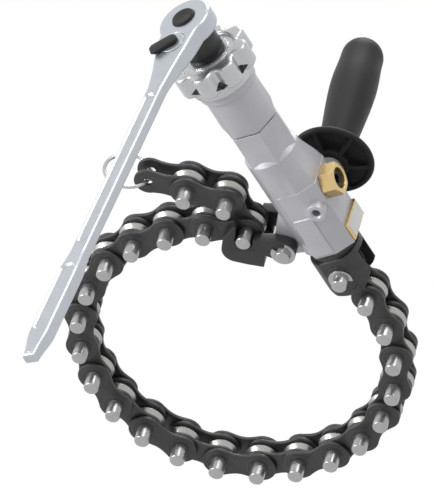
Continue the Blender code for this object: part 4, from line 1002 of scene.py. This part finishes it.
def build_drive():
    place = at(YOKE_PIN)
    across = KNOB_POCKET_WIDTH / 2
    along = KNOB_POCKET_LENGTH / 2
    diamond = [(-along, 0), (0, -across), (along, 0), (0, across)]
    pockets = []
    for number in range(KNOB_LOBES):
        spoke = turn(2 * pi * (number + 0.5) / KNOB_LOBES, "Z") @ at(KNOB_SHADE_RING_RADIUS - CLEARANCE, 0, 0)
        seat = along_body(KNOB_RIM_FRONT + KNOB_POCKET_AT) @ spoke @ turn(90 * DEGREE, "Y")
        pockets.append(slab(diamond, 0, KNOB_LOBE_DEPTH, place=seat))
    inside = HUB_RADIUS + KNOB_EDGE
    dish = lathe([(KNOB_FACE_RADIUS, KNOB_REAR - KNOB_EDGE), (KNOB_FACE_RADIUS, KNOB_REAR + OVERRUN),
                  (inside, KNOB_REAR + OVERRUN), (inside, KNOB_REAR - KNOB_EDGE / 2)],
                 closed=True, place=STEM)
    bore = drum(SCREW_RADIUS + CLEARANCE, KNOB_FRONT - OVERRUN, KNOB_REAR + OVERRUN, place=STEM)
    flange = drum(KNOB_FLANGE_RADIUS, KNOB_FRONT, KNOB_RIM_FRONT + KNOB_RIM / 2, BODY_EDGE, place=STEM)
    star = slab(knob_outline(), KNOB_RIM_FRONT, KNOB_REAR, KNOB_EDGE, STEM)
    knob = carve(star, [flange], pockets + [dish, bore])
    piece("star_knob", knob, POLISHED, "feed_drive", "cast_aluminium", "feed_knob", place=place)
    # Black ring hidden inside the knob, seen only through the pockets: painted shade on the pocket floors.
    inside = KNOB_SHADE_RING_RADIUS - OVERRUN
    pocket_shade_ring = lathe(rectangle((inside, KNOB_RIM_FRONT), (KNOB_SHADE_RING_RADIUS, KNOB_RIM_REAR)),
                 closed=True, place=STEM)
    piece("knob_pocket_shade", pocket_shade_ring, HOOK_STEEL, "feed_drive", "black_steel", place=place)
    hub = carve(drum(HUB_RADIUS, HUB_FRONT, HUB_REAR, HUB_EDGE, place=STEM),
                [drum(SCREW_RADIUS, PLUNGER_REAR - SCREW_ENTRY, HUB_FRONT + OVERRUN, place=STEM),
                 drum(SPIGOT_RADIUS, HUB_REAR - OVERRUN, HUB_REAR + SPIGOT_LENGTH, place=STEM)])
    piece("drive_screw", hub, HOOK_STEEL, "feed_drive", "black_steel", "feed_screw", place=place)


# Ratchet wrench

def wrench_place():
    down = Vector((0, sin(WRENCH_SWING), -cos(WRENCH_SWING)))
    away = Vector((-1, 0, 0))
    axes = Matrix((down, away.cross(down), away)).transposed().to_4x4()
    return at(YOKE_PIN + away * HEAD_MIDDLE) @ axes


def wrench_half_width(x):
    """Half of the wrench's width: the head's circle, then its shoulders, shank, grip and tip."""
    turned = WRENCH_HEAD_RADIUS * cos(HEAD_TURN)
    if x < turned:
        return sqrt(max(WRENCH_HEAD_RADIUS ** 2 - x ** 2, 0))
    waist_half = WRENCH_SHANK_WIDTH / 2
    grip = WRENCH_GRIP_WIDTH / 2
    along, across = HEAD_SHOULDER_SHARES
    points = [(turned, WRENCH_HEAD_RADIUS * sin(HEAD_TURN)),
              (WRENCH_HEAD_REACH * along, WRENCH_HEAD_RADIUS * across)]
    along, across = HEAD_NECK_SHARES
    points += [(WRENCH_HEAD_REACH * along, waist_half * across), (WRENCH_HEAD_REACH, waist_half)]
    for (start, low), (end, high) in zip(points, points[1:]):
        if x <= end:
            return low + (high - low) * (x - start) / (end - start)
    return level(x, [(WRENCH_HEAD_REACH, waist_half), (WRENCH_GRIP_START - WRENCH_GRIP_FLARE / 2, waist_half),
                     (WRENCH_GRIP_START + WRENCH_GRIP_FLARE, grip), (WRENCH_TIP_START, grip),
                     (WRENCH_REACH, WRENCH_TIP_WIDTH / 2)])


def wrench_half_thickness(x):
    head = WRENCH_HEAD_THICKNESS / 2
    shank = WRENCH_SHANK_THICKNESS / 2
    grip = WRENCH_GRIP_THICKNESS / 2
    return level(x, [(-WRENCH_HEAD_RADIUS, head), (WRENCH_HEAD_RADIUS, head), (WRENCH_HEAD_REACH, shank),
                     (WRENCH_GRIP_START - WRENCH_GRIP_FLARE / 2, shank),
                     (WRENCH_GRIP_START + WRENCH_GRIP_FLARE, grip), (WRENCH_TIP_START, grip),
                     (WRENCH_REACH, WRENCH_TIP_THICKNESS / 2)])


def wrench_blank():
    """Forged blank: an outline whose rims are rounded and whose thickness follows its length."""
    stations = [-WRENCH_HEAD_RADIUS * cos(90 * DEGREE * (number + 0.5) / WRENCH_BOW_STATIONS)
                for number in range(WRENCH_BOW_STATIONS)]
    stations += [WRENCH_REACH * number / WRENCH_STATIONS for number in range(WRENCH_STATIONS + 1)]
    outline = [(x, -wrench_half_width(x)) for x in stations]
    outline += [(x, wrench_half_width(x)) for x in reversed(stations)]
    rims = rounding(WRENCH_EDGE, WRENCH_EDGE_STEPS)
    rings = []
    for sign, steps in ((-1, rims), (1, rims[::-1])):
        for depth, rise in steps:
            rings.append([(x, y, sign * (wrench_half_thickness(flat[0]) - rise))
                          for (x, y), flat in zip(inset(outline, depth), outline)])
    count = len(outline)
    faces = walls(count, len(rings))
    for base in (0, (len(rings) - 1) * count):
        for number in range(len(stations) - 1):
            across = base + count - 1 - number
            faces.append((base + number, base + number + 1, across - 1, across))
    return meshed(rings, faces)


def build_wrench():
    place = wrench_place()
    head = WRENCH_HEAD_THICKNESS / 2
    margin = WRENCH_PANEL_MARGIN
    waist_half = WRENCH_SHANK_WIDTH / 2
    panels = ((WRENCH_HEAD_REACH + waist_half, WRENCH_GRIP_START - WRENCH_GRIP_FLARE, waist_half - margin,
               WRENCH_SHANK_THICKNESS / 2),
              (WRENCH_GRIP_START + WRENCH_GRIP_FLARE / 2, WRENCH_TIP_START, WRENCH_GRIP_WIDTH / 2 - margin,
               WRENCH_GRIP_THICKNESS / 2))
    cut = []
    for start, end, half, surface in panels:
        outline = rounded_box((start, -half), (end, half), half * PANEL_ROUND_SHARE)
        floor = inset(outline, WRENCH_PANEL_DEPTH)
        for side in (-1, 1):
            cut.append(skin([[(x, y, side * height) for x, y in ring]
                             for ring, height in ((floor, surface - WRENCH_PANEL_DEPTH), (outline, surface),
                                                  (outline, surface + OVERRUN))]))
    lever_at = at(LEVER_REACH, 0, 0)
    cut += [drum(SPIGOT_RADIUS + CLEARANCE, -head - OVERRUN, SPIGOT_LENGTH - head),
            drum(BUTTON_RADIUS + CLEARANCE, head - BUTTON_LENGTH, head + OVERRUN),
            drum(LEVER_BOSS_RADIUS + CLEARANCE, head - LEVER_BOSS, head + OVERRUN, place=lever_at)]
    forging = carve(wrench_blank(), (), cut)
    piece("wrench_forging", forging, CHROME, "wrench", "satin_chrome", "ratchet_wrench", place=place)
    seat = head - LEVER_BOSS + CLEARANCE
    half = LEVER_WIDTH / 2
    shoulder = LEVER_LENGTH - half / 2
    outline = arc((0, 0), half, 0, pi, LEVER_END_POINTS)
    outline += [(-half, -shoulder), (-half / 2, -LEVER_LENGTH), (half / 2, -LEVER_LENGTH), (half, -shoulder)]
    bar = slab(outline, head + 2 * CLEARANCE, head + LEVER_RISE, BUTTON_CROWN)
    lever_place = place @ lever_at @ turn(LEVER_TURN, "Z")
    disc = drum(LEVER_BOSS_RADIUS, seat, head + CLEARANCE / 2, CLEARANCE)
    piece("lever_disc", disc, CHROME, "direction_lever", "satin_chrome", place=lever_place)
    lever = carve(bar, [drum(half, head, head + LEVER_RISE / 2)])
    piece("lever_bar", lever, PLASTIC, "direction_lever", "black_plastic", "reversing_lever",
          place=lever_place)
    floor = head - BUTTON_LENGTH + BUTTON_TRAVEL + CLEARANCE
    top = head + BUTTON_RISE
    button = lathe([(BUTTON_RADIUS, floor), (BUTTON_RADIUS, top - BUTTON_CROWN),
                    (BUTTON_RADIUS - BUTTON_CROWN / 3, top - BUTTON_CROWN / 3),
                    (BUTTON_RADIUS - BUTTON_CROWN, top), (BUTTON_RADIUS - 2 * BUTTON_CROWN, top),
                    (BUTTON_RADIUS / 2, top - BUTTON_CROWN / 2)])
    piece("release_cap", button, PLASTIC, "quick_release", "black_plastic", "release_button", place=place)


build_chain()
build_ring()
build_yoke()
build_hook()
build_body()
build_nut()
build_handle()
build_drive()
build_wrench()

# Camera, floor and lamps: a lamp's offset in camera axes, size and watts
FORWARD = Vector((0.52897, 0.45852, 0.71411)).normalized()
UP = Vector((-0.70555, -0.22999, 0.6703))
TARGET = Vector((-46.743, -0.698, 35.073)) * MM
LENS = 1400
SENSOR = 36
DISTANCE_PER_LENS = 8.4653
CLIP_START = 0.1
CLIP_END = 90
AMBIENT = 0.38
FLOOR_TONE = 0.85
FLOOR_HALF = 60
FLOOR_Z = -30
LAMPS = {"key": ((-1.8, 0.4, 0.9), 1.0, 32), "top": ((0.5, 1.6, 0.9), 0.9, 11),
         "rim": ((0.3, 1.5, -0.8), 0.9, 12)}

camera_data = bpy.data.cameras.new("camera")
camera_data.lens = LENS
camera_data.sensor_width = SENSOR
camera_data.clip_start = CLIP_START
camera_data.clip_end = CLIP_END
camera = new_object("camera", camera_data)
right = FORWARD.cross(UP).normalized()
up = right.cross(FORWARD).normalized()
axes = Matrix((right, up, -FORWARD)).transposed().to_4x4()
camera.matrix_world = at(TARGET - FORWARD * DISTANCE_PER_LENS * LENS * MM) @ axes
bpy.context.scene.camera = camera


def area_light(name, offset, size, watts):
    """Square lamp at an offset from the target, in camera axes, that faces it."""
    data = bpy.data.lights.new(name, "AREA")
    data.size = size
    data.energy = watts
    light = new_object(name, data)
    place = right * offset[0] + up * offset[1] - FORWARD * offset[2]
    light.location = TARGET + place
    light.rotation_euler = (-place).to_track_quat("-Z", "Y").to_euler()


for lamp, (offset, size, watts) in LAMPS.items():
    area_light(lamp, offset, size, watts)


def backdrop(tree, dim, output):
    """Show white to camera, glossy and transmission rays, and a dimmer shader to all others."""
    white = linked(tree, "ShaderNodeEmission", Color=(1, 1, 1, 1), Strength=1.0)
    path = tree.nodes.new("ShaderNodeLightPath")
    seen = path.outputs["Is Camera Ray"]
    for name in ("Is Glossy Ray", "Is Transmission Ray"):
        seen = maths(tree, "ADD", seen, path.outputs[name], clamp=True)
    mix = linked(tree, "ShaderNodeMixShader", Fac=seen)
    feed(tree, mix.inputs[1], dim)
    feed(tree, mix.inputs[2], white.outputs[0])
    feed(tree, output.inputs["Surface"], mix.outputs[0])


world = bpy.data.worlds.new("studio")
bpy.context.scene.world = world
world.use_nodes = True
ambient = world.node_tree.nodes["Background"]
ambient.inputs["Color"].default_value = (1, 1, 1, 1)
ambient.inputs["Strength"].default_value = AMBIENT
backdrop(world.node_tree, ambient.outputs[0], world.node_tree.nodes["World Output"])

paint = bpy.data.materials.new("pale_floor")
paint.use_nodes = True
plain = paint.node_tree.nodes["Principled BSDF"]
plain.inputs["Base Color"].default_value = (*[FLOOR_TONE] * 3, 1)
backdrop(paint.node_tree, plain.outputs[0], paint.node_tree.nodes["Material Output"])
sheet = bpy.data.meshes.new("floor")
sheet.from_pydata([(FLOOR_HALF * x, FLOOR_HALF * y, FLOOR_Z)
                   for x, y in ((-1, -1), (1, -1), (1, 1), (-1, 1))], [], [(0, 1, 2, 3)])
sheet.materials.append(paint)
floor = new_object("floor", sheet)
bpy.context.scene.view_settings.view_transform = "Standard"
